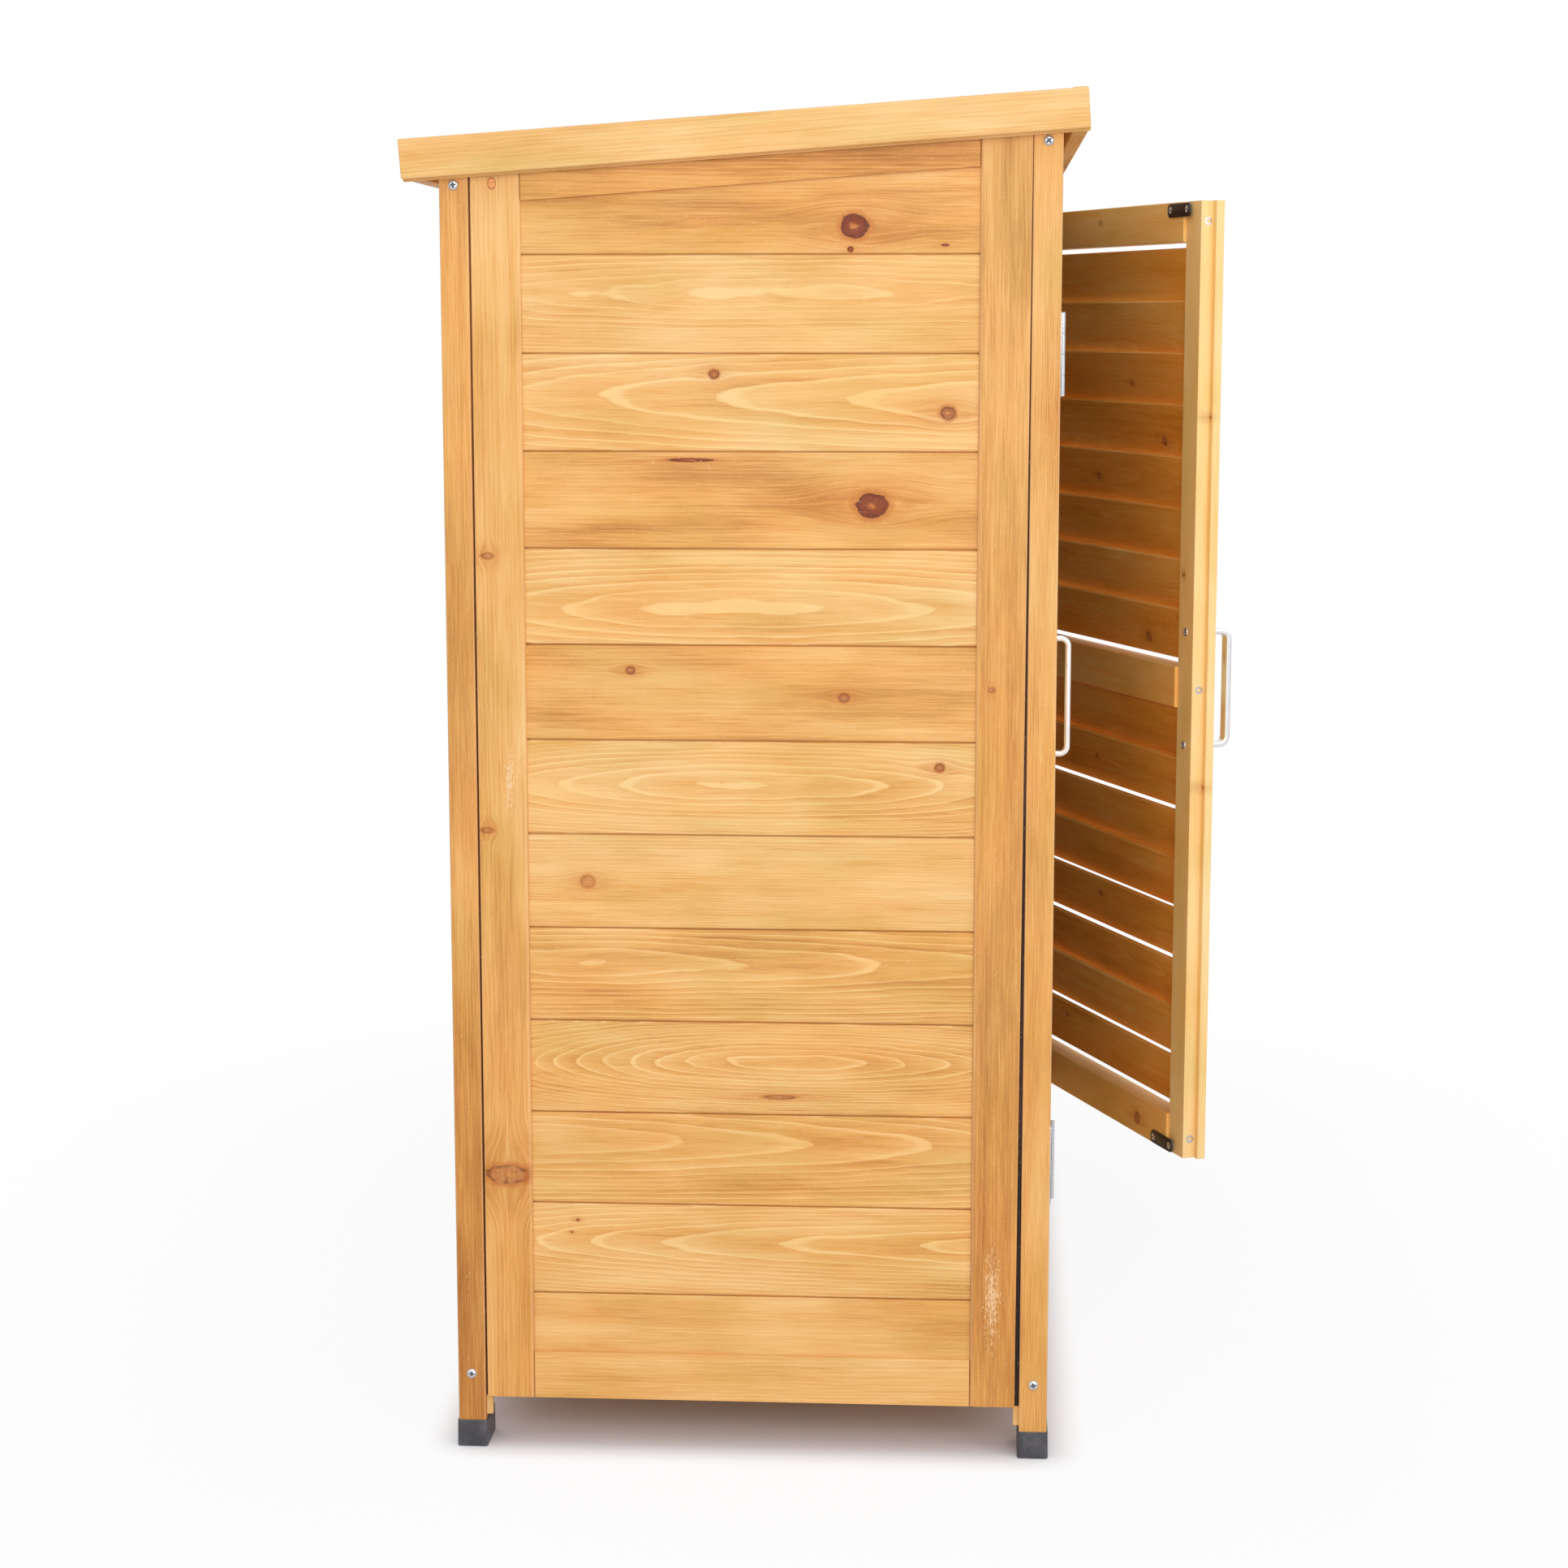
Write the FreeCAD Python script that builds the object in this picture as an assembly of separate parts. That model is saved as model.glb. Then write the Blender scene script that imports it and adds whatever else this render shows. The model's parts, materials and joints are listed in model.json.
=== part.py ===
import FreeCAD, Part
import math
import os

# Garden storage cabinet: four corner posts on plastic feet, two louvred doors
# hung between the front posts, plank walls in grooved frames, and a pent roof
# that falls to the back. All sizes are millimetres.
# While it is built, X = 0 is the middle, Y = 0 the front face of the front
# posts with +Y to the back, and Z = 0 the floor. The left side is -X.

# Overall sizes
body_width = 848.0            # over the outer faces of the posts
body_depth = 426.0            # front face of the front posts to back face of the back posts
front_height = 965.0          # floor to the front top edge of the side fascias
roof_pitch = 4.0              # fall of the roof to the back, degrees
rest_opening = 22.0           # how far the right door stands ajar, degrees

# Corner posts and feet
post_width = 36.0
post_depth = 20.0
post_arris = 1.2
cap_height = 20.0
cap_wall = 1.0
cap_floor = 2.5
cap_corner_radius = 2.0
cap_clearance = 0.1

# Side panels: a grooved frame with tongued and grooved planks
panel_bottom = 37.5           # floor to the lower edge of the panels
panel_centre = 8.0            # outer face of the post to the middle of the panel
frame_width = 34.5
frame_thickness = 14.0
frame_arris_radius = 2.5
panel_gap = 1.2               # shadow gap between post and panel
tongue_thickness = 6.6
tongue_length = 3.0           # how far a post's tongue enters the panel
tongue_bottom = 23.0          # floor to the lower end of the tongue, above the foot cap
tongue_clearance = 0.2
rail_end_gap = 0.2

plank_thickness = 8.0
plank_pitch = 67.2
highest_joint_drop = 110.0    # front_height to the highest joint between two planks
plank_gap = 0.6
plank_chamfer = 0.8
plank_tongue_thickness = 2.6
plank_tongue_height = 4.0
plank_tongue_clearance = 0.2
plank_housing = 6.0           # how far planks enter their frame
housing_clearance = 0.15

# Back wall
back_top_rail_height = 36.0
centre_batten_width = 34.5
centre_batten_thickness = 12.0

# Floor, shelves and the battens they lie on
batten_width = 18.0
batten_height = 18.0
floor_height = 76.0           # top of the floor boards
lower_shelf_height = 350.0
upper_shelf_height = 620.0
board_thickness = 10.0
board_end_clearance = 0.5
floor_board_count = 5
floor_board_gap = 2.0
floor_play = 1.0
shelf_board_count = 4
shelf_board_gap = 10.0
shelf_setback = 40.0          # front face of the posts to the front edge of a shelf

# Roof
fascia_height = 27.0
fascia_thickness = 11.0
drip_lip_drop = 1.5
drip_lip_thickness = 3.0
front_overhang = 16.0
back_overhang = 26.0
front_fascia_rise = 1.2
roof_board_thickness = 10.0
roof_board_count = 7
felt_thickness = 1.5
felt_below_edge = 0.5
roof_batten_height = 15.0

# Front rails and doors
front_top_rail_height = 41.0  # underside of the roof boards to the rail's lower edge
front_bottom_rail_height = 59.5
door_gap = 2.5                # above and below a door
hinge_side_gap = 1.5
meeting_gap = 1.5
stile_width = 34.5
stile_thickness = 18.0
stile_arris = 0.8
lip_length = 6.5              # how far the right door's lip reaches over the left door
lip_thickness = 7.4
rebate_clearance = 0.6
door_rail_thickness = 19.5
door_rail_setback = 1.0
top_rail_height = 33.0
middle_rail_height = 35.0
bottom_rail_height = 33.0
slat_width = 45.0
slat_thickness = 4.5
slat_tilt = 13.5              # out of the upright, lower edge outwards, degrees
slat_chamfer = 0.8
slat_count = 8
slat_play = 6.9               # free height in a door opening above and below its slats
upper_slat_drop = 4.0
lower_slat_drop = 3.0
slat_housing = 5.0
slat_clearance = 0.15

# Hinges
hinge_height = 58.0
hinge_knuckles = 4
knuckle_gap = 0.3
barrel_radius = 2.1
barrel_sides = 12
pin_radius = 1.3
pin_clearance = 0.05
axis_ahead = 2.3              # hinge axis in front of the door faces
leaf_thickness = 1.2
leaf_start = 2.6
leaf_reach = 17.0
upper_hinge_drop = 121.3      # top of the door to the middle of the upper hinge
lower_hinge_rise = 112.3      # bottom of the door to the middle of the lower hinge

# Handles
handle_pitch = 96.0
handle_width = 10.0
handle_strap = 5.0
handle_projection = 23.0
handle_corner_radius = 9.0
right_handle_inset = 20.5     # free edge of the door's face to the middle of the handle
left_handle_inset = 14.0

# Strike plates and magnetic catches
plate_length = 46.0
plate_width = 11.0
plate_thickness = 1.6
plate_corner = 2.5
plate_edge_margin = 1.0
plate_overlap = 20.0          # how far a plate reaches from the rail over the stile
catch_length = 46.0
catch_flange = 3.0
catch_flange_reach = 19.0
catch_depth = 14.0
catch_block_reach = 17.0
catch_overlap = 4.0
catch_air = 0.3

# Screws: head radius, head height, shank radius, length
frame_screw = (3.6, 2.2, 2.0, 66.0)
edge_screw = (3.3, 2.0, 1.9, 60.0)
handle_screw = (3.6, 2.2, 1.6, 25.0)
screw_sides = 8               # screws and their holes are drawn with flats
pan_head_flat = 0.6           # flat top of a round head, as a share of its radius
screw_clearance = 0.05
bottom_screw_height = 55.0
top_screw_drop = 20.8         # underside of the roof boards to the upper post screws
edge_screw_depth = 11.6       # face of the door to the screws in its edges
thread_depth = 2.0            # end of a handle screw to the bottom of its hole

half_width = body_width / 2
inner_half = half_width - post_width
pitch_angle = math.radians(roof_pitch)
roof_length = (body_depth + front_overhang + back_overhang) / math.cos(pitch_angle)
deck_drop = felt_below_edge + felt_thickness + roof_board_thickness
front_frame_end = post_depth + panel_gap
back_frame_end = body_depth - post_depth - panel_gap
front_plank_end = front_frame_end + frame_width
back_plank_end = back_frame_end - frame_width
panel_x = half_width - panel_centre
panel_inner_face = panel_x - frame_thickness / 2
bottom_rail_top = panel_bottom + frame_width
wall_y = body_depth - post_depth / 2
hinge_x = inner_half - hinge_side_gap / 2
tilt = math.radians(slat_tilt)
rail_back_face = door_rail_setback + door_rail_thickness
front_bottom_rail_top = panel_bottom + front_bottom_rail_height
door_bottom = front_bottom_rail_top + door_gap


def box(x0, x1, y0, y1, z0, z1):
    """A square block between two corners."""
    return Part.makeBox(x1 - x0, y1 - y0, z1 - z0, FreeCAD.Vector(x0, y0, z0))


def prism(points, along):
    """A flat outline of (x, y, z) points carried along one straight vector."""
    corners = [FreeCAD.Vector(*p) for p in points]
    face = Part.Face(Part.makePolygon(corners + [corners[0]]))
    return face.extrude(FreeCAD.Vector(*along))


def mirrored(shape):
    """The same piece on the other side of the middle plane."""
    return shape.mirror(FreeCAD.Vector(0, 0, 0), FreeCAD.Vector(1, 0, 0))


def both_sides(shape):
    """A group of a piece and its mirror image."""
    return Part.makeCompound([shape, mirrored(shape)])


def round_edges(solid, radius, chosen):
    """Round the straight edges whose two ends both pass the test chosen."""
    edges = []
    for edge in solid.Edges:
        ends = [v.Point for v in edge.Vertexes]
        if len(ends) == 2 and chosen(ends[0]) and chosen(ends[1]):
            if ends[0].distanceToPoint(ends[1]) > 2 * radius:
                edges.append(edge)
    return solid.makeFillet(radius, edges)


def near(value, target):
    """Whether a coordinate lies on a given plane."""
    return abs(value - target) < 0.01


def underside(y):
    """Height of the roof boards' underside above a point of the plan."""
    fall = (y + front_overhang) * math.tan(pitch_angle)
    return front_height - fall - deck_drop / math.cos(pitch_angle)


def on_roof(shape):
    """Tilt a piece drawn level, front edge at Y = 0 and top edge at Z = 0, onto the roof."""
    tilted = shape.copy()
    tilted.rotate(FreeCAD.Vector(0, 0, 0), FreeCAD.Vector(1, 0, 0), -roof_pitch)
    tilted.translate(FreeCAD.Vector(0, -front_overhang, front_height))
    return tilted


def under_roof(shape):
    """Trim a piece along the underside of the roof boards."""
    above = box(-body_width, body_width, -body_depth, 2 * body_depth, -deck_drop, body_depth)
    return shape.cut(on_roof(above))


def ring(radius, distance, sides):
    """A regular outline with its corners on a circle, level at a height."""
    corners = []
    for i in range(sides):
        angle = 2 * math.pi * (i + 0.5) / sides
        corners.append(FreeCAD.Vector(radius * math.cos(angle), radius * math.sin(angle), distance))
    return Part.makePolygon(corners + [corners[0]])


def faceted(rings, start, direction):
    """A solid through rings of (radius, distance), set out from start along direction."""
    wires = [ring(radius, distance, screw_sides) for radius, distance in rings]
    solid = Part.makeLoft(wires, True, True)
    turn = FreeCAD.Rotation(FreeCAD.Vector(0, 0, 1), FreeCAD.Vector(*direction))
    solid.Placement = FreeCAD.Placement(FreeCAD.Vector(*start), turn)
    return solid


def sunk_screw(size, start, direction, grow=0.0):
    """A countersunk screw, head flush at start. With grow it is the hole that takes it."""
    head, height, shank, length = size
    rings = [(head + grow, 0), (shank + grow, height + grow), (shank + grow, length + grow)]
    return faceted(rings, start, direction)


def raised_screw(size, start, direction):
    """A round-headed screw whose head stands on the face at start."""
    head, height, shank, length = size
    dome = faceted([(pan_head_flat * head, -height), (head, 0)], start, direction)
    return dome.fuse(shank_hole(size, start, direction, 0.0))


def shank_hole(size, start, direction, grow=screw_clearance):
    """The straight part of a screw, or the hole for it."""
    shank = size[2] + grow
    return faceted([(shank, 0), (shank, size[3] + grow)], start, direction)


# Screws through the posts into the ends of the front and back rails

def frame_screw_places():
    """Where the right-hand frame screws enter: the middle of each post's outer face."""
    places = []
    for y in (post_depth / 2, body_depth - post_depth / 2):
        places.append((half_width, y, bottom_screw_height))
        places.append((half_width, y, underside(y) - top_screw_drop))
    return places


def drilled(shape):
    """Cut the right-hand frame screws' holes."""
    holes = [shank_hole(frame_screw, place, (-1, 0, 0)) for place in frame_screw_places()]
    return shape.cut(holes)


def drilled_both_ends(rail):
    """Cut the frame screws' holes into both ends of a rail."""
    holes = [shank_hole(frame_screw, place, (-1, 0, 0)) for place in frame_screw_places()]
    return rail.cut(holes + [mirrored(hole) for hole in holes])


def frame_screws():
    """Eight round-headed screws, four in each side."""
    right = [raised_screw(frame_screw, place, (-1, 0, 0)) for place in frame_screw_places()]
    return Part.makeCompound(right + [mirrored(screw) for screw in right])


# Corner posts with their plastic feet

def post(front):
    """A right-hand post with eased edges and a tongue for the side panel."""
    y0 = 0 if front else body_depth - post_depth
    blank = box(inner_half, half_width, y0, y0 + post_depth, cap_floor, front_height)
    blank = blank.makeChamfer(post_arris, upright_edges(blank))
    reach = panel_gap + tongue_length
    if front:
        y1, y2 = post_depth, post_depth + reach
    else:
        y1, y2 = y0 - reach, y0
    half = tongue_thickness / 2
    tongue = box(panel_x - half, panel_x + half, y1, y2, tongue_bottom, front_height)
    return drilled(under_roof(blank.fuse(tongue)))


def upright_edges(solid):
    """The edges of a block that run along Z."""
    found = []
    for edge in solid.Edges:
        ends = [v.Point for v in edge.Vertexes]
        if near(ends[0].x, ends[1].x) and near(ends[0].y, ends[1].y):
            found.append(edge)
    return found


def back_post():
    """The back post is grooved on its inner face for the planks of the back wall."""
    half_slot = plank_thickness / 2 + housing_clearance
    depth = plank_housing + housing_clearance
    slot = box(inner_half, inner_half + depth, wall_y - half_slot, wall_y + half_slot,
               panel_bottom, front_height)
    return post(False).cut(slot)


def foot_cap(front):
    """A right-hand moulded cap that the foot of a post stands in."""
    y0 = 0 if front else body_depth - post_depth
    inner = cap_clearance
    outer = cap_clearance + cap_wall
    shell = box(inner_half - outer, half_width + outer, y0 - outer, y0 + post_depth + outer,
                0, cap_height)
    shell = shell.makeFillet(cap_corner_radius, upright_edges(shell))
    hollow = box(inner_half - inner, half_width + inner, y0 - inner, y0 + post_depth + inner,
                 cap_floor, cap_height)
    return shell.cut(hollow)


# Planks with a tongue on the upper edge and a groove in the lower edge

def plank(start, end, bottom, top, grooved=True, tongued=True):
    """A plank that runs along Y from start to end, its face towards +X, middle at X = 0."""
    face = plank_thickness / 2
    low = bottom + plank_gap / 2 if grooved else bottom
    high = top - plank_gap / 2 if tongued else top
    tongue = plank_tongue_thickness / 2
    slot = tongue + plank_tongue_clearance
    slot_top = low + plank_tongue_height + plank_gap
    outline = [(face - plank_chamfer, low), (face, low + plank_chamfer)]
    outline += [(face, high - plank_chamfer), (face - plank_chamfer, high)]
    if tongued:
        tip = high + plank_tongue_height
        outline += [(tongue, high), (tongue, tip), (-tongue, tip), (-tongue, high)]
    outline += [(-face, high), (-face, low)]
    if grooved:
        outline += [(-slot, low), (-slot, slot_top), (slot, slot_top), (slot, low)]
    points = [(x, start, z) for x, z in outline]
    return prism(points, (0, end - start, 0))


def plank_wall(start, end, bottom, top):
    """Planks from the bottom up. The joints count down from the highest one."""
    joints = [front_height - highest_joint_drop]
    while joints[-1] - plank_pitch > bottom + plank_tongue_height:
        joints.append(joints[-1] - plank_pitch)
    joints.reverse()
    planks = [plank(start, end, bottom, joints[0], grooved=False)]
    for low, high in zip(joints[:-1], joints[1:]):
        planks.append(plank(start, end, low, high))
    planks.append(plank(start, end, joints[-1], top, tongued=False))
    return planks


# Side panels, drawn for the right side

def side_stile(front):
    """An upright of the panel frame, grooved for the post's tongue and for the planks."""
    shoulder = front_frame_end if front else back_frame_end
    inward = 1 if front else -1
    plank_side = shoulder + inward * frame_width
    y0, y1 = sorted((shoulder, plank_side))
    outer_face = panel_x + frame_thickness / 2
    body = box(panel_inner_face, outer_face, y0, y1, panel_bottom, front_height)

    def on_visible_arris(p):
        return near(p.x, outer_face) and near(p.y, plank_side)

    body = round_edges(body, frame_arris_radius, on_visible_arris)
    t0, t1 = sorted((shoulder, shoulder + inward * (tongue_length + housing_clearance)))
    half = tongue_thickness / 2 + tongue_clearance
    tongue_slot = box(panel_x - half, panel_x + half, t0, t1, panel_bottom, front_height)
    depth = plank_housing + housing_clearance
    g0, g1 = sorted((plank_side, plank_side - inward * depth))
    half_slot = plank_thickness / 2 + housing_clearance
    slot = box(panel_x - half_slot, panel_x + half_slot, g0, g1, panel_bottom, front_height)
    return under_roof(body.cut(tongue_slot).cut(slot))


def side_bottom_rail():
    """The lower cross piece, with a stub tenon at each end and a groove along its top."""
    y0 = front_plank_end + rail_end_gap
    y1 = back_plank_end - rail_end_gap
    body = box(panel_inner_face, panel_x + frame_thickness / 2, y0, y1, panel_bottom, bottom_rail_top)
    half = plank_thickness / 2
    tenon = box(panel_x - half, panel_x + half, y0 - plank_housing, y1 + plank_housing,
                panel_bottom, bottom_rail_top)
    half_slot = half + housing_clearance
    slot = box(panel_x - half_slot, panel_x + half_slot, y0 - frame_width, y1 + frame_width,
               bottom_rail_top - plank_housing - housing_clearance, front_height)
    return body.fuse(tenon).cut(slot).removeSplitter()


def sloped_band(y0, y1, low, high, x0, x1):
    """A strip of board that follows the roof, between two drops below the boards."""
    slope = math.cos(pitch_angle)
    points = [(x0, y0, underside(y0) - low / slope), (x0, y1, underside(y1) - low / slope)]
    points += [(x0, y1, underside(y1) - high / slope), (x0, y0, underside(y0) - high / slope)]
    return prism(points, (x1 - x0, 0, 0))


def side_top_rail():
    """The upper cross piece follows the slope of the roof and is grooved underneath."""
    y0 = front_plank_end + rail_end_gap
    y1 = back_plank_end - rail_end_gap
    half = plank_thickness / 2
    body = sloped_band(y0, y1, frame_width, 0, panel_inner_face, panel_x + frame_thickness / 2)
    tenon = sloped_band(y0 - plank_housing, y1 + plank_housing, frame_width, 0,
                        panel_x - half, panel_x + half)
    half_slot = half + housing_clearance
    slot = sloped_band(y0 - frame_width, y1 + frame_width, 2 * frame_width,
                       frame_width - plank_housing - housing_clearance,
                       panel_x - half_slot, panel_x + half_slot)
    return body.fuse(tenon).cut(slot).removeSplitter()


def side_planks():
    """The planks of a side. The top one is trimmed along the slope inside the rail."""
    start = front_plank_end - plank_housing
    end = back_plank_end + plank_housing
    bottom = bottom_rail_top - plank_housing
    planks = plank_wall(start, end, bottom, underside(start))
    above = sloped_band(start - 1, end + 1, frame_width - plank_housing, -frame_width,
                        -plank_thickness, plank_thickness)
    planks[-1] = planks[-1].cut(above)
    for piece in planks:
        piece.translate(FreeCAD.Vector(panel_x, 0, 0))
    return Part.makeCompound(planks)


# Front and back frames

def front_rail(low, high):
    """A rail between the front posts, screwed through them into its ends."""
    rail = box(-inner_half, inner_half, 0, post_depth, low, high)
    return drilled_both_ends(under_roof(rail))


def back_rail(low, high, slot_low, slot_high):
    """A rail between the back posts, with stub tenons and a groove for the planks."""
    y0 = body_depth - post_depth
    body = box(-inner_half, inner_half, y0, body_depth, low, high)
    half = plank_thickness / 2
    reach = inner_half + plank_housing
    tenon = box(-reach, reach, wall_y - half, wall_y + half, low, high)
    half_slot = half + housing_clearance
    slot = box(-body_width, body_width, wall_y - half_slot, wall_y + half_slot, slot_low, slot_high)
    return drilled_both_ends(under_roof(body.fuse(tenon)).cut(slot).removeSplitter())


def back_top_rail():
    """The upper back rail, planed to the slope of the roof."""
    low = back_top_rail_low()
    return back_rail(low, front_height, low, low + plank_housing + housing_clearance)


def back_top_rail_low():
    """Lower edge of the upper back rail."""
    return underside(body_depth) - back_top_rail_height


def back_bottom_rail():
    """The lower back rail."""
    slot_low = bottom_rail_top - plank_housing - housing_clearance
    return back_rail(panel_bottom, bottom_rail_top, slot_low, bottom_rail_top)


def back_planks():
    """The planks of the back wall, faces outwards."""
    reach = inner_half + plank_housing
    bottom = bottom_rail_top - plank_housing
    planks = plank_wall(-reach, reach, bottom, back_top_rail_low() + plank_housing)
    for piece in planks:
        piece.rotate(FreeCAD.Vector(0, 0, 0), FreeCAD.Vector(0, 0, 1), 90)
        piece.translate(FreeCAD.Vector(0, wall_y, 0))
    return Part.makeCompound(planks)


def back_centre_batten():
    """An upright inside the back wall that keeps its long planks in line."""
    face = wall_y - plank_thickness / 2
    half = centre_batten_width / 2
    return box(-half, half, face - centre_batten_thickness, face, floor_height, back_top_rail_low())


# Floor, shelves and their battens

def boards(count, gap, front, back, top):
    """Boards side by side from front to back that run the whole width inside."""
    width = (back - front - gap * (count - 1)) / count
    reach = panel_inner_face - board_end_clearance
    group = []
    for i in range(count):
        y = front + i * (width + gap)
        group.append(box(-reach, reach, y, y + width, top - board_thickness, top))
    return group


def floor_boards():
    """The floor lies between the front and back rails."""
    front = post_depth + floor_play
    back = body_depth - post_depth - floor_play
    return Part.makeCompound(boards(floor_board_count, floor_board_gap, front, back, floor_height))


def shelf(top):
    """A slatted shelf that stops short of the doors and of the back wall's batten."""
    back = wall_y - plank_thickness / 2 - centre_batten_thickness - floor_play
    return Part.makeCompound(boards(shelf_board_count, shelf_board_gap, shelf_setback, back, top))


def battens():
    """Battens on the inside of the side panels, and one under the middle of the floor."""
    y0 = post_depth + floor_play
    y1 = body_depth - post_depth - floor_play
    group = []
    for top in (floor_height, lower_shelf_height, upper_shelf_height):
        z1 = top - board_thickness
        right = box(panel_inner_face - batten_width, panel_inner_face, y0, y1, z1 - batten_height, z1)
        group += [right, mirrored(right)]
    half = batten_width / 2
    z1 = floor_height - board_thickness
    group.append(box(-half, half, post_depth, body_depth - post_depth, z1 - batten_height, z1))
    return Part.makeCompound(group)


def shelf_ties():
    """A tie under the middle of each shelf keeps its boards level."""
    y0 = shelf_setback + floor_play
    y1 = body_depth - post_depth - centre_batten_thickness - floor_play
    half = batten_width / 2
    group = []
    for top in (lower_shelf_height, upper_shelf_height):
        z1 = top - board_thickness
        group.append(box(-half, half, y0, y1, z1 - batten_height, z1))
    return group


# Roof

def side_fascia():
    """A side fascia, cut square to the slope, with a drip lip along its inner lower edge."""
    x0, x1 = half_width, half_width + fascia_thickness
    lip = x0 + drip_lip_thickness
    low = -fascia_height
    outline = [(x0, 0, 0), (x1, 0, 0), (x1, 0, low), (lip, 0, low)]
    outline += [(lip, 0, low - drip_lip_drop), (x0, 0, low - drip_lip_drop)]
    board = prism(outline, (0, roof_length, 0))
    return on_roof(board)


def cross_fascia(start, rise):
    """A fascia between the two side fascias, along the front or back edge."""
    return on_roof(box(-half_width, half_width, start, start + fascia_thickness, -fascia_height, rise))


def roof_boards():
    """Tongued and grooved boards that run across, inside the fascias."""
    start = fascia_thickness
    width = (roof_length - 2 * fascia_thickness) / roof_board_count
    half = roof_board_thickness / 2
    tongue = plank_tongue_thickness / 2
    slot = tongue + plank_tongue_clearance
    depth = plank_tongue_height + plank_gap
    group = []
    for i in range(roof_board_count):
        low = start + i * width
        high = low + width
        outline = [(low, -half), (high, -half)]
        if i < roof_board_count - 1:
            tip = high + plank_tongue_height
            outline += [(high, -tongue), (tip, -tongue), (tip, tongue), (high, tongue)]
        outline += [(high, half), (low, half)]
        if i > 0:
            outline += [(low, slot), (low + depth, slot), (low + depth, -slot), (low, -slot)]
        middle = half - deck_drop
        points = [(-half_width, y, z + middle) for y, z in outline]
        group.append(on_roof(prism(points, (body_width, 0, 0))))
    return Part.makeCompound(group)


def roof_felt():
    """Mineral felt over the boards, inside the fascias."""
    top = -felt_below_edge
    sheet = box(-half_width, half_width, fascia_thickness, roof_length - fascia_thickness,
                top - felt_thickness, top)
    return on_roof(sheet)


def roof_battens():
    """Battens under the boards from the front rail to the back rail."""
    y0 = post_depth
    y1 = body_depth - post_depth
    right = sloped_band(y0, y1, roof_batten_height, 0, panel_inner_face - batten_width, panel_inner_face)
    half = batten_width / 2
    middle = sloped_band(y0, y1, roof_batten_height, 0, -half, half)
    return Part.makeCompound([right, mirrored(right), middle])


# Doors, drawn closed with the hinge axis at X = 0 and the free side towards +X

front_top_rail_low = underside(0) - front_top_rail_height
door_top = front_top_rail_low - door_gap
door_middle = (door_bottom + bottom_rail_height + door_top - top_rail_height) / 2
upper_hinge_z = door_top - upper_hinge_drop
lower_hinge_z = door_bottom + lower_hinge_rise
right_outer_end = hinge_x - meeting_gap / 2
left_outer_end = right_outer_end
right_inner_end = right_outer_end - lip_length
left_inner_end = 2 * hinge_x - meeting_gap - right_inner_end
stile_start = hinge_side_gap / 2
hinge_stile_end = stile_start + stile_width
meeting_start = {"right": right_outer_end - stile_width, "left": left_inner_end - stile_width}
inner_end = {"right": right_inner_end, "left": left_inner_end}
handle_from_axis = {
    "right": right_outer_end - right_handle_inset,
    "left": left_outer_end - left_handle_inset,
}
upper_opening = (door_middle + middle_rail_height / 2, door_top - top_rail_height)
lower_opening = (door_bottom + bottom_rail_height, door_middle - middle_rail_height / 2)
rail_middles = (door_bottom + bottom_rail_height / 2, door_middle, door_top - top_rail_height / 2)


def tilted_bar(outline, x0, x1, top):
    """An outline of (across, along) points, tilted like a slat whose highest point is at top."""
    rise = slat_width / 2 * math.cos(tilt) + slat_thickness / 2 * math.sin(tilt)
    points = []
    for across, along in outline:
        y = stile_thickness / 2 + along * math.sin(tilt) + across * math.cos(tilt)
        z = top - rise + along * math.cos(tilt) - across * math.sin(tilt)
        points.append((x0, y, z))
    return prism(points, (x1 - x0, 0, 0))


def slat(x0, x1, top):
    """One slat with chamfered edges. Its upper edge is inside, its lower edge outside."""
    w = slat_width / 2
    t = slat_thickness / 2
    c = slat_chamfer
    outline = [(t, w - c), (t - c, w), (c - t, w), (-t, w - c)]
    outline += [(-t, c - w), (c - t, -w), (t - c, -w), (t, c - w)]
    return tilted_bar(outline, x0, x1, top)


def slat_tops(opening, drop):
    """Heights of the slats' upper edges in one opening of a door."""
    low, high = opening
    reach = slat_width * math.cos(tilt) + slat_thickness * math.sin(tilt)
    pitch = (high - low - slat_play - reach) / (slat_count - 1)
    return [high - drop - i * pitch for i in range(slat_count)]


def all_slat_tops():
    """Every slat of a door, from the top down."""
    return slat_tops(upper_opening, upper_slat_drop) + slat_tops(lower_opening, lower_slat_drop)


def door_slats(side):
    """The louvre slats of a door, let into both stiles."""
    x0 = hinge_stile_end - slat_housing
    x1 = meeting_start[side] + slat_housing
    return [slat(x0, x1, top) for top in all_slat_tops()]


def slat_slots(x0, x1):
    """The slanted housings that the slats' ends sit in."""
    w = slat_width / 2 + slat_clearance
    t = slat_thickness / 2 + slat_clearance
    outline = [(t, w), (-t, w), (-t, -w), (t, -w)]
    return [tilted_bar(outline, x0, x1, top) for top in all_slat_tops()]


def edge_screw_places(side):
    """Screws through both edges of a door into the ends of its rails."""
    places = []
    for z in rail_middles:
        places.append(((stile_start, edge_screw_depth, z), (1, 0, 0)))
        places.append(((inner_end[side], edge_screw_depth, z), (-1, 0, 0)))
    return places


def edge_screw_holes(side):
    """Their countersunk holes."""
    found = []
    for place, direction in edge_screw_places(side):
        found.append(sunk_screw(edge_screw, place, direction, screw_clearance))
    return found


def handle_screw_places(side):
    """Handle screws start at the back of the meeting stile."""
    x = handle_from_axis[side]
    half = handle_pitch / 2
    return [(x, stile_thickness, door_middle + step) for step in (-half, half)]


def handle_screw_holes(side):
    """Their holes through the stile."""
    found = []
    for place in handle_screw_places(side):
        found.append(sunk_screw(handle_screw, place, (0, -1, 0), screw_clearance))
    return found


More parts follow.
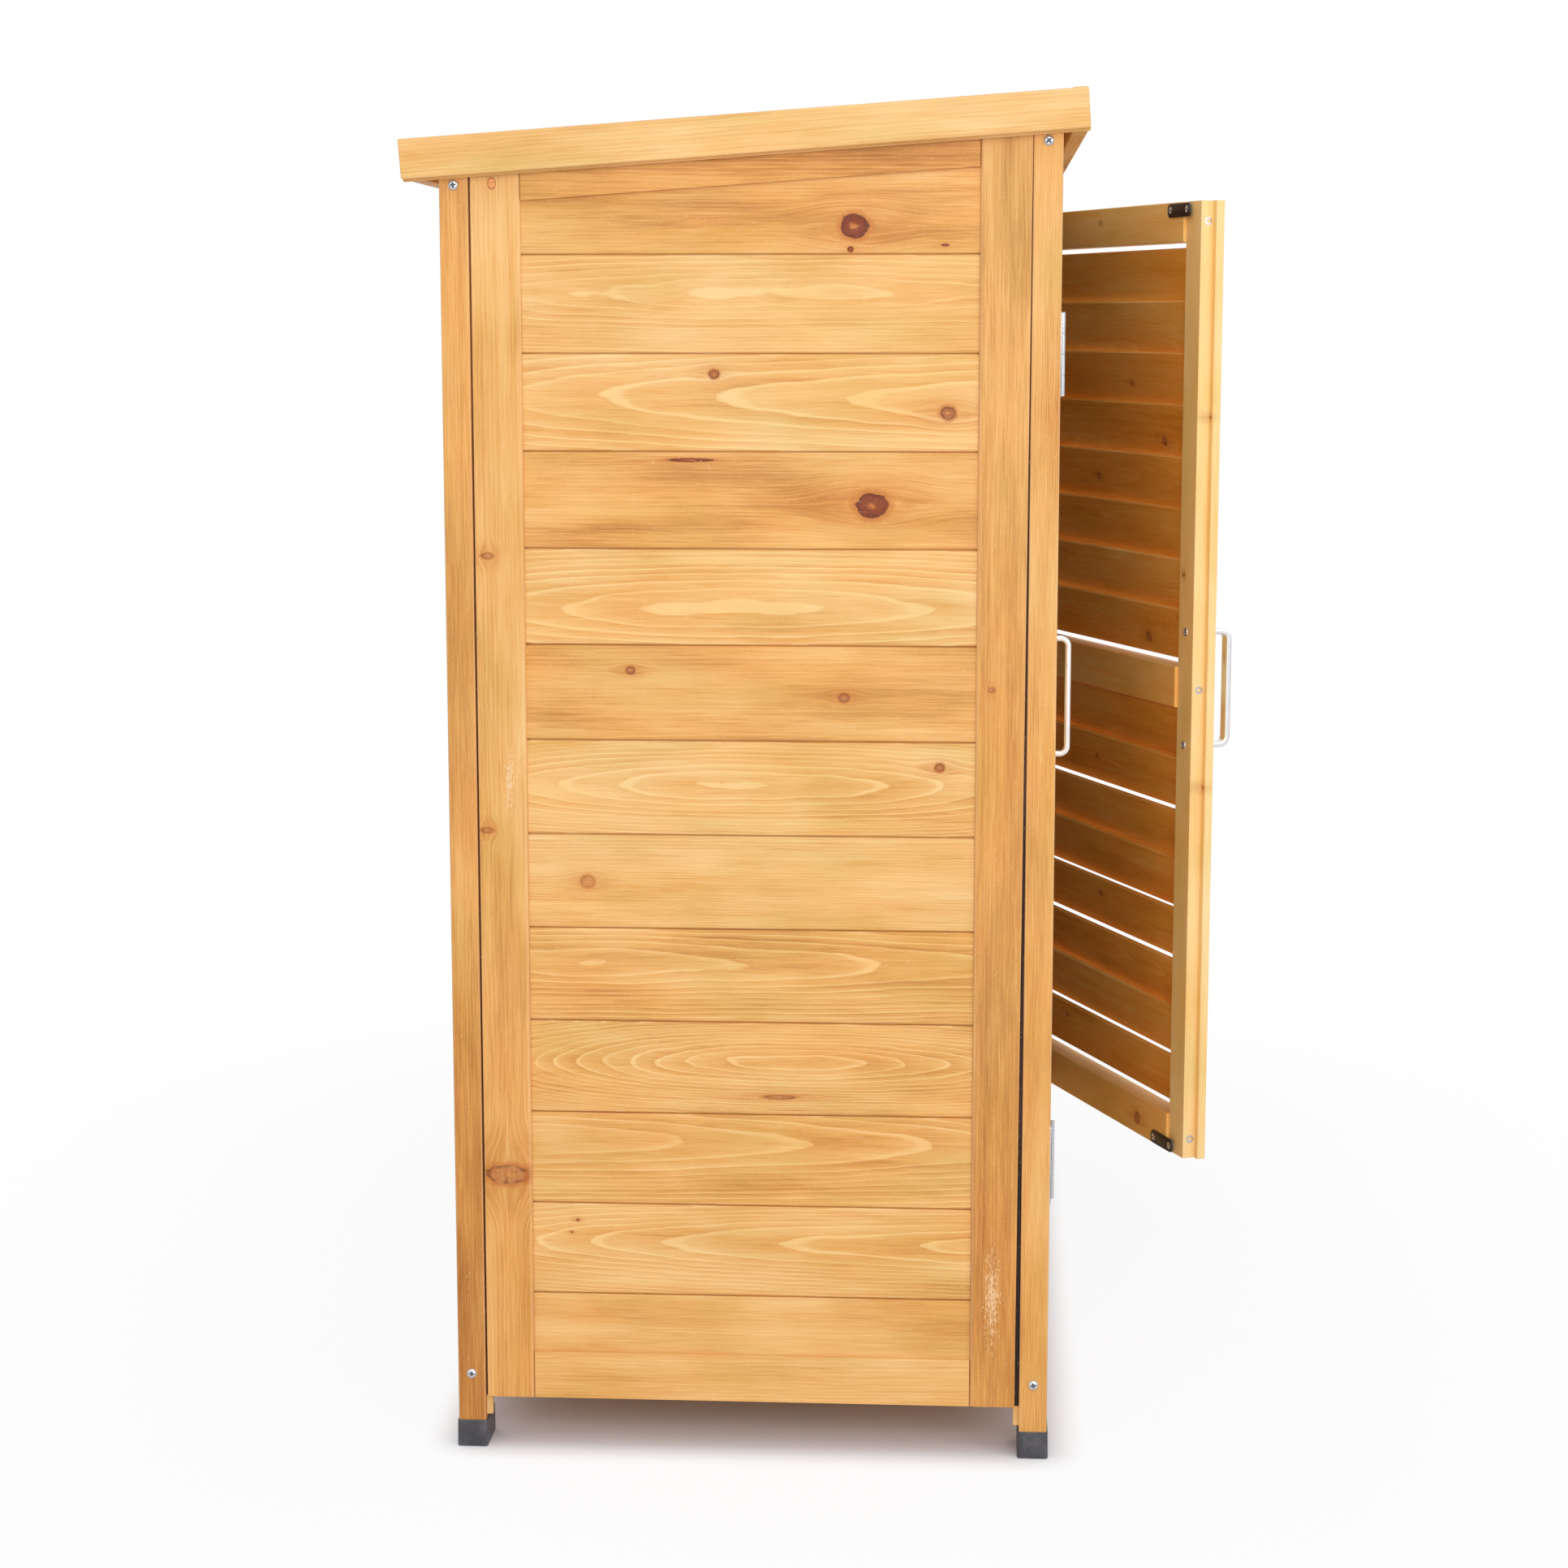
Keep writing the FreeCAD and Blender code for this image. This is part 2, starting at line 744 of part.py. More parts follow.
def plate_middle(side):
    """A strike plate lies across the joint of rail and meeting stile."""
    return meeting_start[side] - catch_length / 2 + plate_overlap


def plate_heights():
    """Middle heights of the lower and the upper strike plate."""
    inset = plate_width / 2 + plate_edge_margin
    return (door_bottom + inset, door_top - inset)


def hinge_stile(side):
    """The stile that carries the hinges."""
    body = box(stile_start, hinge_stile_end, 0, stile_thickness, door_bottom, door_top)
    body = body.makeChamfer(stile_arris, upright_edges(body))
    slots = slat_slots(hinge_stile_end - slat_housing - slat_clearance, hinge_stile_end + slat_housing)
    return body.cut(slots + edge_screw_holes(side))


def meeting_stile(side):
    """The right door's outer lip laps over a rebate in the left door."""
    x0 = meeting_start[side]
    if side == "right":
        step = [(right_outer_end, 0), (right_outer_end, lip_thickness), (right_inner_end, lip_thickness)]
        step += [(right_inner_end, stile_thickness)]
    else:
        rebate = lip_thickness + rebate_clearance
        step = [(left_outer_end, 0), (left_outer_end, rebate), (left_inner_end, rebate)]
        step += [(left_inner_end, stile_thickness)]
    outline = [(x0, 0)] + step + [(x0, stile_thickness)]
    body = prism([(x, y, door_bottom) for x, y in outline], (0, 0, door_top - door_bottom))
    inner_arrises = [edge for edge in upright_edges(body) if near(edge.Vertexes[0].X, x0)]
    body = body.makeChamfer(stile_arris, inner_arrises)
    slots = slat_slots(x0 - slat_housing, x0 + slat_housing + slat_clearance)
    return body.cut(slots + edge_screw_holes(side) + handle_screw_holes(side))


def door_rail(side, low, high):
    """A cross rail, a little behind the stiles' front and proud of their back."""
    body = box(hinge_stile_end, meeting_start[side], door_rail_setback, rail_back_face, low, high)
    return body.cut(edge_screw_holes(side))


def handle(side):
    """A flat bar bent to a D, tapped in its two ends."""
    x0 = handle_from_axis[side] - handle_width / 2
    half = (handle_pitch + handle_strap) / 2
    z0, z1 = door_middle - half, door_middle + half
    outer = box(x0, x0 + handle_width, -handle_projection, 0, z0, z1)

    def at_bend(p):
        return near(p.y, -handle_projection)

    outer = round_bends(outer, handle_corner_radius, at_bend)
    reach = handle_strap - handle_projection
    inner = box(x0, x0 + handle_width, reach, 1, z0 + handle_strap, z1 - handle_strap)

    def at_inner_bend(p):
        return near(p.y, reach)

    inner = round_bends(inner, handle_corner_radius - handle_strap, at_inner_bend)
    bar = outer.cut(inner)
    holes = []
    for x, y, z in handle_screw_places(side):
        depth = handle_screw[3] - stile_thickness + thread_depth
        radius = handle_screw[2] + screw_clearance
        holes.append(faceted([(radius, 0), (radius, depth)], (x, 0, z), (0, -1, 0)))
    return bar.cut(holes)


def round_bends(solid, radius, chosen):
    """Round the edges along X whose two ends both pass the test chosen."""
    edges = []
    for edge in solid.Edges:
        a, b = [v.Point for v in edge.Vertexes]
        if near(a.y, b.y) and near(a.z, b.z) and chosen(a):
            edges.append(edge)
    return solid.makeFillet(radius, edges)


def strike_plates(side):
    """Two steel plates with round corners that the magnets hold."""
    middle = plate_middle(side)
    group = []
    for z in plate_heights():
        blank = box(middle - plate_length / 2, middle + plate_length / 2,
                    rail_back_face, rail_back_face + plate_thickness,
                    z - plate_width / 2, z + plate_width / 2)
        corners = []
        for edge in blank.Edges:
            a, b = [v.Point for v in edge.Vertexes]
            if near(a.x, b.x) and near(a.z, b.z):
                corners.append(edge)
        group.append(blank.makeChamfer(plate_corner, corners))
    return group


def door_screws(side):
    """All screws that travel with a door."""
    group = []
    for place, direction in edge_screw_places(side):
        group.append(sunk_screw(edge_screw, place, direction))
    for place in handle_screw_places(side):
        group.append(sunk_screw(handle_screw, place, (0, -1, 0)))
    return group


# Butt hinges, drawn with the axis at X = 0

def hinge_leaf(middle, first_knuckle):
    """A door leaf towards +X. It owns every second knuckle, from first_knuckle down."""
    bottom = middle - hinge_height / 2
    pitch = hinge_height / hinge_knuckles
    leaf = box(leaf_start, leaf_reach, -leaf_thickness, 0, bottom, bottom + hinge_height)
    back = barrel_radius - axis_ahead
    for i in range(first_knuckle, hinge_knuckles, 2):
        top = bottom + hinge_height - i * pitch - knuckle_gap / 2
        low = top - pitch + knuckle_gap
        barrel = Part.Face(ring(barrel_radius, low, barrel_sides)).extrude(FreeCAD.Vector(0, 0, top - low))
        barrel.translate(FreeCAD.Vector(0, -axis_ahead, 0))
        roll = box(0, leaf_start, back - leaf_thickness, back, low, top)
        roll = roll.fuse(box(leaf_start - leaf_thickness, leaf_start, -leaf_thickness, back, low, top))
        leaf = leaf.fuse([barrel, roll])
    bore = Part.makeCylinder(pin_radius + pin_clearance, hinge_height,
                             FreeCAD.Vector(0, -axis_ahead, bottom))
    return leaf.removeSplitter().cut(bore)


def hinge_pin(middle):
    """A plain steel pin, flush with the ends of the barrel."""
    bottom = middle - hinge_height / 2
    return Part.makeCylinder(pin_radius, hinge_height, FreeCAD.Vector(0, -axis_ahead, bottom))


hinge_middles = (lower_hinge_z, upper_hinge_z)


def place_right(shape):
    """From the doors' drawing place to the right front post."""
    moved = mirrored(shape)
    moved.translate(FreeCAD.Vector(hinge_x, 0, 0))
    return moved


def place_left(shape):
    """From the doors' drawing place to the left front post."""
    moved = shape.copy()
    moved.translate(FreeCAD.Vector(-hinge_x, 0, 0))
    return moved


def swung(shape):
    """Stand the right door ajar about its hinge axis."""
    moved = place_right(shape)
    moved.rotate(FreeCAD.Vector(hinge_x, -axis_ahead, 0), FreeCAD.Vector(0, 0, 1), rest_opening)
    return moved


def post_leaves():
    """The four leaves on the posts: the door leaf turned over, with the other knuckles."""
    leaves = [place_right(mirrored(hinge_leaf(z, 0))) for z in hinge_middles]
    return Part.makeCompound(leaves + [mirrored(leaf) for leaf in leaves])


def hinge_pins():
    """Four hinge pins."""
    pins = [place_right(hinge_pin(z)) for z in hinge_middles]
    return Part.makeCompound(pins + [mirrored(pin) for pin in pins])


def magnetic_catch(edge, away):
    """A catch behind a front rail, beyond its edge in the direction away, drawn for X = 0."""
    y0 = post_depth
    front = rail_back_face + plate_thickness + catch_air
    back = front + catch_depth
    outline = [(y0, 0), (y0, -catch_flange_reach), (y0 + catch_flange, -catch_flange_reach)]
    outline += [(y0 + catch_flange, -catch_overlap), (back, -catch_overlap)]
    outline += [(back, catch_block_reach), (front, catch_block_reach), (front, 0)]
    points = [(-catch_length / 2, y, edge + away * z) for y, z in outline]
    return prism(points, (catch_length, 0, 0))


def magnetic_catches():
    """Four catches, one behind each strike plate of the closed doors."""
    group = []
    for edge, away in ((front_top_rail_low, -1), (front_bottom_rail_top, 1)):
        catch = magnetic_catch(edge, away)
        right = catch.copy()
        right.translate(FreeCAD.Vector(hinge_x - plate_middle("right"), 0, 0))
        left = catch.copy()
        left.translate(FreeCAD.Vector(plate_middle("left") - hinge_x, 0, 0))
        group += [right, left]
    return Part.makeCompound(group)


def side_pieces(side, place):
    """One side panel's five nodes."""
    return {
        side + "_side_front_stile": place(side_stile(True)),
        side + "_side_back_stile": place(side_stile(False)),
        side + "_side_top_rail": place(side_top_rail()),
        side + "_side_bottom_rail": place(side_bottom_rail()),
        side + "_side_planks": place(side_planks()),
    }


def door_pieces(side, place):
    """One door's ten nodes."""
    low, high = lower_opening, upper_opening

    def group(shapes):
        return Part.makeCompound([place(shape) for shape in shapes])

    return {
        side + "_door_hinge_stile": place(hinge_stile(side)),
        side + "_door_meeting_stile": place(meeting_stile(side)),
        side + "_door_bottom_rail": place(door_rail(side, door_bottom, low[0])),
        side + "_door_middle_rail": place(door_rail(side, low[1], high[0])),
        side + "_door_top_rail": place(door_rail(side, high[1], door_top)),
        side + "_door_slats": group(door_slats(side)),
        side + "_door_handle": place(handle(side)),
        side + "_door_strike_plates": group(strike_plates(side)),
        side + "_door_hinge_leaves": group([hinge_leaf(z, 1) for z in hinge_middles]),
        side + "_door_screws": group(door_screws(side)),
    }


def as_drawn(shape):
    """Right-hand pieces are drawn in place."""
    return shape


pieces = {
    "right_front_post": post(True),
    "left_front_post": mirrored(post(True)),
    "right_back_post": back_post(),
    "left_back_post": mirrored(back_post()),
    "right_front_foot_cap": foot_cap(True),
    "left_front_foot_cap": mirrored(foot_cap(True)),
    "right_back_foot_cap": foot_cap(False),
    "left_back_foot_cap": mirrored(foot_cap(False)),
    "front_top_rail": front_rail(front_top_rail_low, front_height),
    "front_bottom_rail": front_rail(panel_bottom, front_bottom_rail_top),
    "back_top_rail": back_top_rail(),
    "back_bottom_rail": back_bottom_rail(),
    "back_planks": back_planks(),
    "back_centre_batten": back_centre_batten(),
    "floor_boards": floor_boards(),
    "lower_shelf": Part.makeCompound([shelf(lower_shelf_height), shelf_ties()[0]]),
    "upper_shelf": Part.makeCompound([shelf(upper_shelf_height), shelf_ties()[1]]),
    "shelf_battens": battens(),
    "right_fascia": side_fascia(),
    "left_fascia": mirrored(side_fascia()),
    "front_fascia": cross_fascia(0, front_fascia_rise),
    "back_fascia": cross_fascia(roof_length - fascia_thickness, 0),
    "roof_boards": roof_boards(),
    "roof_felt": roof_felt(),
    "roof_battens": roof_battens(),
    "magnetic_catches": magnetic_catches(),
    "frame_screws": frame_screws(),
    "hinge_post_leaves": post_leaves(),
    "hinge_pins": hinge_pins(),
}
pieces.update(side_pieces("right", as_drawn))
pieces.update(side_pieces("left", mirrored))
pieces.update(door_pieces("right", swung))
pieces.update(door_pieces("left", place_left))

# The origin stands on the floor, in the middle of the plan of the whole cabinet
# as it stands with its right door ajar.
extent = Part.makeCompound(list(pieces.values())).BoundBox
to_origin = FreeCAD.Vector(-extent.Center.x, -extent.Center.y, -extent.ZMin)

os.makedirs("parts", exist_ok=True)
for name, shape in pieces.items():
    shape.translate(to_origin)
    shape.exportStep("parts/" + name + ".step")
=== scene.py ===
import json
import math

import bpy
import numpy as np
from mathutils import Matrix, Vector


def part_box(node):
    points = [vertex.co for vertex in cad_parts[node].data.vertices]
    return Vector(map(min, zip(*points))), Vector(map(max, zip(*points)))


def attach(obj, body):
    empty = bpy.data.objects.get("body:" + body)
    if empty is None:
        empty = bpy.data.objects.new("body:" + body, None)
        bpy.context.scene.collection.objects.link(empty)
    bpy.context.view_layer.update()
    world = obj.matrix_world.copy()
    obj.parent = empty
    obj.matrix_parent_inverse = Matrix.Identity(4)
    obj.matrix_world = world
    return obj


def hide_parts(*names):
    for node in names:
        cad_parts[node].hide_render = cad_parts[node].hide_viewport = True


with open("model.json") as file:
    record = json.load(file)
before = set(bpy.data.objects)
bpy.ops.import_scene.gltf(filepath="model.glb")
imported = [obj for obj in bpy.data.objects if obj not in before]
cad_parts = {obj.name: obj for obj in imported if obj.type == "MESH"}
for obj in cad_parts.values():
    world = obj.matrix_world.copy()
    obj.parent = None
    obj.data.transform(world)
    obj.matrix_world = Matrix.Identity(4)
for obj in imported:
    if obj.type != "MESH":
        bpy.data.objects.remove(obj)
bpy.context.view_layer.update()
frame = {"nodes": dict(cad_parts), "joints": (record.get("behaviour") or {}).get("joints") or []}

# The four corner posts: planed fir, stained honey and varnished, arrises eased by
# hand and tops cut to the slope of the roof. A tongue down each post holds the
# side frame: pale where it shows below it; in the joint it is painted dark brown to
# near black, darker towards the foot, as painted shade in the deep gap.
mm = 0.001
roof_fall = math.tan(math.radians(4.0))
arris = 1.3 * mm
square_edge = 0.3 * mm
tongue_depth = 8 * mm
tongue_width = 6.6 * mm
tongue_reach = 4.2 * mm
tongue_root = 1 * mm
tongue_edge = 0.5 * mm
tongue_bottom = 23 * mm
tongue_below_roof = 4 * mm
panel_bottom = 37.5 * mm
post_depth = 20 * mm
chooser = np.random.default_rng(41)

# How dark the stain is, and how much darker the colour is made towards the foot
post_tone = {"front": 1.0, "back": 1.1}
post_foot_tone = {"front": 0.0, "back": 0.8}

fir_pale = "#F2CD90"
fir_honey = "#E2AB63"
fir_deep = "#B07132"
fir_olive = "#EDF2D8"
fir_orange = "#FFF1D8"
knot_heart = "#803002"
knot_pale = "#D39A5C"
knot_rim = "#5C2100"
knot_stain = "#C0702A"
scuff_and_highlight_fir = "#F3D2A6"
varnish_ior = 1.42

# Patterns in the wood: so many patches to a metre along, across and outwards, moved on
# by so many patches, the scale of the whole, and how detailed. Fibres are drawn 1 mm
# wide, coarser than real ones, so that they show.
wood_patches = {
    "slow": ((12, 38, 38), None, 1.0, 1.0),
    "fine": ((40, 160, 160), None, 1.0, 2.0),
    "fibre": ((34, 1000, 1000), None, 1.0, 4.0),
    "band": ((7, 150, 150), None, 1.0, 3.0),
    "olive": ((11, 30, 30), None, 1.0, 3.0),
    "orange": ((11, 30, 30), (5.0, 3.0, 9.0), 0.8, 2.0),
    "blotch": ((8, 34, 34), (1.0, 7.0, 2.0), 1.0, 2.0),
    "speck": ((420, 1900, 1900), None, 1.0, 2.0),
}

# How far the rings stray with the slow and the fine patches and from year to year, how
# often the years' widths and a knot's edge change, how ragged that edge is, and how much
# of the grain's way a knot takes
slow_wobble = 2.6 * mm
fine_wobble = 0.8 * mm
year_wobble = 4.0 * mm
uneven_per_metre = 90
ragged_per_metre = 170
knot_raggedness = 0.72
pushed_apart = 0.72
fibre_height = 0.1 * mm

# What a board's vertices say of its wood, and what they say where there is no knot
wood_names = ("grain", "heart", "growth", "figure", "finish", "knot_1", "knot_2", "knot_3",
              "runs", "scuff")
no_knot = (9, 9, 0)
least_mark = 0.02 * mm
plain_figure = (0.4, 0.8, 0.7)
smooth = {"interpolation_type": "SMOOTHSTEP"}
four = {"noise_dimensions": "4D"}


def linear(hex_colour):
    """An sRGB hex colour as linear red, green, blue and alpha: below 0.04045 divided by
    12.92, above it raised to the power 2.4 after an offset of 0.055."""
    values = [int(hex_colour[i:i + 2], 16) / 255 for i in (1, 3, 5)]
    return [v / 12.92 if v <= 0.04045 else ((v + 0.055) / 1.055) ** 2.4 for v in values] + [1.0]


def add(tree, kind, inputs=(), out=0, **settings):
    """Add one shader node, set its settings, fill or link its inputs, which come in order or
    by name, and give one output."""
    node = tree.nodes.new("ShaderNode" + kind)
    for name, value in settings.items():
        setattr(node, name, value)
    for place, value in inputs.items() if isinstance(inputs, dict) else enumerate(inputs):
        if isinstance(value, bpy.types.NodeSocket):
            tree.links.new(value, node.inputs[place])
        else:
            node.inputs[place].default_value = value
    return node.outputs[out]


def painted(name):
    """A material with an empty node tree, and that tree."""
    material = bpy.data.materials.new(name)
    material.use_nodes = True
    material.node_tree.nodes.clear()
    return material, material.node_tree


def output(tree, surface):
    """End a node tree."""
    end = tree.nodes.new("ShaderNodeOutputMaterial")
    tree.links.new(surface, end.inputs["Surface"])


def knot_marks(tree, grain, ragged, knots, runs):
    """Knots as how deep a point is in a core and in a halo, its distance from the nearest one
    in radii, the way out from the middle, and where its line of grain ran before.

    A knot is (along, across, radius), has a ragged edge and is drawn out along the grain by
    its part of runs. The halo is twice as long, and lines of grain are pushed apart in it.
    """
    across = flowed = add(tree, "SeparateXYZ", (grain,), out=1)
    rough_edge = add(tree, "Math", (ragged, 0.5), operation="SUBTRACT")
    core = halo = nearest = way_out = None
    for i, knot in enumerate(knots):
        run = add(tree, "SeparateXYZ", (runs,), out=i)
        middle, size = (add(tree, "SeparateXYZ", (knot,), out=j) for j in (1, 2))
        size = add(tree, "Math", (size, least_mark), operation="MAXIMUM")
        place = add(tree, "VectorMath", (grain, knot), operation="SUBTRACT")
        drawn = add(tree, "CombineXYZ", (run, 1.0, 1.0))
        place = add(tree, "VectorMath", (place, drawn), operation="DIVIDE")
        place = add(tree, "VectorMath", (place, (1, 1, 0)), operation="MULTIPLY")
        near = add(tree, "VectorMath", (place,), out="Value", operation="LENGTH")
        near = add(tree, "Math", (near, size), operation="DIVIDE")
        near = add(tree, "Math", (rough_edge, knot_raggedness, near), operation="MULTIPLY_ADD")
        wide = add(tree, "VectorMath", (place, (0.5, 1, 0)), operation="MULTIPLY")
        wide = add(tree, "VectorMath", (wide,), out="Value", operation="LENGTH")
        wide = add(tree, "Math", (wide, size), operation="DIVIDE")
        this_core = add(tree, "MapRange", (near, 1.06, 0.94, 0.0, 1.0), **smooth)
        this_halo = add(tree, "MapRange", (wide, 3.2, 0.8, 0.0, 1.0), **smooth)
        off_knot = add(tree, "Math", (across, middle), operation="SUBTRACT")
        pushed = add(tree, "Math", (off_knot, this_halo), operation="MULTIPLY")
        flowed = add(tree, "Math", (pushed, -pushed_apart, flowed), operation="MULTIPLY_ADD")
        place = add(tree, "VectorMath", (place,), operation="NORMALIZE")
        weight = add(tree, "CombineXYZ", (this_core,) * 3)
        place = add(tree, "VectorMath", (place, weight), operation="MULTIPLY")
        if i == 0:
            core, halo, nearest, way_out = this_core, this_halo, near, place
            continue
        core = add(tree, "Math", (core, this_core), operation="MAXIMUM")
        halo = add(tree, "Math", (halo, this_halo), operation="MAXIMUM")
        nearest = add(tree, "Math", (nearest, near), operation="MINIMUM")
        way_out = add(tree, "VectorMath", (way_out, place), operation="ADD")
    return core, halo, nearest, way_out, flowed


def ring_marks(tree, grain, flowed, slow, fine, heart, growth, clear):
    """Growth rings as how early in its year a point grew, and as the thin pale lines between
    years.

    The radius is the distance from a heart at (across, out), which bows away by heart[2]
    times the squared distance from growth[0], with a wobble, a finer one, and uneven years.
    Divided by the ring width, its whole part is the year and the rest how far that has got.
    """
    along, outward = (add(tree, "SeparateXYZ", (grain,), out=i) for i in (0, 2))
    heart_side, heart_depth, bow = (add(tree, "SeparateXYZ", (heart,), out=i) for i in range(3))
    crown, ring_width, seed = (add(tree, "SeparateXYZ", (growth,), out=i) for i in range(3))
    from_crown = add(tree, "Math", (along, crown), operation="SUBTRACT")
    squared = add(tree, "Math", (from_crown, from_crown), operation="MULTIPLY")
    bowed = add(tree, "Math", (squared, bow), operation="MULTIPLY")
    depth = add(tree, "Math", (outward, heart_depth), operation="SUBTRACT")
    depth = add(tree, "Math", (depth, bowed), operation="ADD")
    side = add(tree, "Math", (flowed, heart_side), operation="SUBTRACT")
    radius = add(tree, "CombineXYZ", (side, depth))
    radius = add(tree, "VectorMath", (radius,), out="Value", operation="LENGTH")
    radius = add(tree, "Math", (slow, slow_wobble, radius), operation="MULTIPLY_ADD")
    radius = add(tree, "Math", (fine, fine_wobble, radius), operation="MULTIPLY_ADD")
    uneven = add(tree, "Math", (radius, uneven_per_metre), operation="MULTIPLY")
    uneven = add(tree, "CombineXYZ", (uneven, seed))
    uneven = add(tree, "TexNoise", {"Vector": uneven, "Scale": 1.0, "Detail": 1.0},
                 noise_dimensions="2D")
    radius = add(tree, "Math", (uneven, year_wobble, radius), operation="MULTIPLY_ADD")
    turns = add(tree, "Math", (radius, ring_width), operation="DIVIDE")
    part = add(tree, "Math", (turns,), operation="FRACT")
    year = add(tree, "Math", (turns,), operation="FLOOR")
    year = add(tree, "TexWhiteNoise", {"Vector": add(tree, "CombineXYZ", (year, seed))})
    strength = add(tree, "MapRange", (year, 0.0, 1.0, 0.25, 1.0))
    strength = add(tree, "Math", (strength, clear), operation="MULTIPLY")
    early = add(tree, "MapRange", (part, 0.0, 0.85, 1.0, 0.0))
    line = add(tree, "MapRange", (part, 0.74, 0.9, 0.0, 1.0), **smooth)
    ending = add(tree, "MapRange", (part, 1.0, 0.96, 0.0, 1.0))
    line = add(tree, "Math", (line, ending), operation="MULTIPLY")
    line = add(tree, "Math", (line, strength), operation="MULTIPLY")
    early = add(tree, "Math", (early, strength), operation="MULTIPLY")
    return early, line


def fir_surface(tree, grain, heart, growth, figure, finish, knots, runs, scuff, shades):
    """Sawn and planed fir under honey stain, as a shader, at a point of a board.

    grain is (along, across, out) in metres. growth is where the rings' heart is nearest, the
    ring width and a number of the board's own. figure says how clearly the rings show, how
    pale the knots are and how blotchy the stain is. finish says how pale an edge is made, as
    wear and as painted highlight, and how dark the stain is, which on some boards carries
    painted shade and on the doors' top rails painted light. scuff (along, across, radius) is
    where the board is scuffed. The shade is a sum: stain goes in deepest just after each
    winter, so every ring starts dark, pales and ends in a thin pale line, and fibres, bands
    and clouds of stain lie over that.
    """
    along, outward = (add(tree, "SeparateXYZ", (grain,), out=i) for i in (0, 2))
    clear, pallor, blotchy = (add(tree, "SeparateXYZ", (figure,), out=i) for i in range(3))
    edge_wear_and_highlight, tone = (add(tree, "SeparateXYZ", (finish,), out=i) for i in range(2))
    seed = add(tree, "SeparateXYZ", (growth,), out=2)
    ragged = add(tree, "TexNoise", {"Vector": grain, "W": seed, "Scale": ragged_per_metre,
                                    "Detail": 3.0}, **four)
    core, halo, near_knot, way_out, flowed = knot_marks(tree, grain, ragged, knots, runs)
    flowing = add(tree, "CombineXYZ", (along, flowed, outward))
    clouds = {}
    for name, (per_metre, moved, scale, detail) in wood_patches.items():
        follows = flowing if name in ("fibre", "band") else grain
        place = add(tree, "VectorMath", (follows, per_metre), operation="MULTIPLY")
        if moved:
            place = add(tree, "VectorMath", (place, moved), operation="ADD")
        roughness = 0.62 if name == "fibre" else 0.5
        clouds[name] = add(tree, "TexNoise", {"Vector": place, "W": seed, "Scale": scale,
                                              "Detail": detail, "Roughness": roughness}, **four)
    fibre = clouds["fibre"]
    early, line = ring_marks(tree, grain, flowed, clouds["slow"], clouds["fine"], heart, growth,
                             clear)

    # The shade: so much of each part of the pattern, then pale, honey and deep stain by it
    blotch = add(tree, "MapRange", (clouds["blotch"], 0.3, 0.7, -0.22, 0.22))
    blotch = add(tree, "Math", (blotch, blotchy), operation="MULTIPLY")
    shade = add(tree, "Math", (early, 0.34, -0.60), operation="MULTIPLY_ADD")
    for part, share in ((line, -0.46), (fibre, 0.85), (clouds["band"], 0.60),
                        (clouds["olive"], 0.16)):
        shade = add(tree, "Math", (part, share, shade), operation="MULTIPLY_ADD")
    shade = add(tree, "Math", (blotch, shade), operation="ADD")
    shade = add(tree, "Math", (tone, 0.28, shade), operation="MULTIPLY_ADD", use_clamp=True)
    lower = add(tree, "Math", (shade, 2.0), operation="MULTIPLY", use_clamp=True)
    upper = add(tree, "Math", (shade, 2.0, -1.0), operation="MULTIPLY_ADD", use_clamp=True)
    pale, honey, deep = (linear(stain) for stain in shades)
    colour = add(tree, "MixRGB", (lower, pale, honey))
    colour = add(tree, "MixRGB", (upper, colour, deep))

    # Two slow clouds turn the stain olive or orange
    olive = add(tree, "MapRange", (clouds["olive"], 0.45, 0.8, 0.0, 1.0))
    orange = add(tree, "MapRange", (clouds["orange"], 0.35, 0.65, 0.0, 0.7))
    orange = add(tree, "Math", (tone, 0.3, orange), operation="MULTIPLY_ADD")
    for share, tint in ((olive, fir_olive), (orange, fir_orange)):
        tinted = add(tree, "MixRGB", (1.0, colour, linear(tint)), blend_type="MULTIPLY")
        colour = add(tree, "MixRGB", (share, colour, tinted))

    # Knots: an orange ring round them, a thin dark bark line, and inside it a dark heart
    # with an orange middle, or a pale one; dry cracks run out from the middle
    stain = add(tree, "MapRange", (fibre, 0.3, 0.7, 0.1, 0.5))
    stain = add(tree, "Math", (stain, halo), operation="MULTIPLY")
    beside = add(tree, "MapRange", (near_knot, 1.8, 1.0, 0.0, 0.8), **smooth)
    stain = add(tree, "Math", (stain, beside), operation="MAXIMUM")
    colour = add(tree, "MixRGB", (stain, colour, linear(knot_stain)))
    off_middle = add(tree, "MapRange", (near_knot, 0.1, 0.4, 0.0, 1.0), **smooth)
    dark_heart = add(tree, "MixRGB", (off_middle, linear(knot_stain), linear(knot_heart)))
    streaked = add(tree, "MapRange", (fibre, 0.35, 0.65, 0.0, 1.0))
    pale_heart = add(tree, "MixRGB", (streaked, linear(knot_pale), linear(knot_stain)))
    inside = add(tree, "MixRGB", (pallor, dark_heart, pale_heart))
    bark = add(tree, "MapRange", (near_knot, 0.62, 0.96, 0.0, 1.0), **smooth)
    broken = add(tree, "MapRange", (ragged, 0.35, 0.6, 0.35, 1.0))
    broken = add(tree, "Math", (pallor, -0.45, broken), operation="MULTIPLY_ADD")
    bark = add(tree, "Math", (bark, broken), operation="MULTIPLY", use_clamp=True)
    inside = add(tree, "MixRGB", (bark, inside, linear(knot_rim)))
    crack = add(tree, "TexNoise", {"Vector": way_out, "W": seed, "Scale": 2.6, "Detail": 1.0},
                **four)
    crack = add(tree, "MapRange", (crack, 0.64, 0.68, 0.0, 0.5))
    inside = add(tree, "MixRGB", (crack, inside, linear(knot_rim)))
    colour = add(tree, "MixRGB", (core, colour, inside))
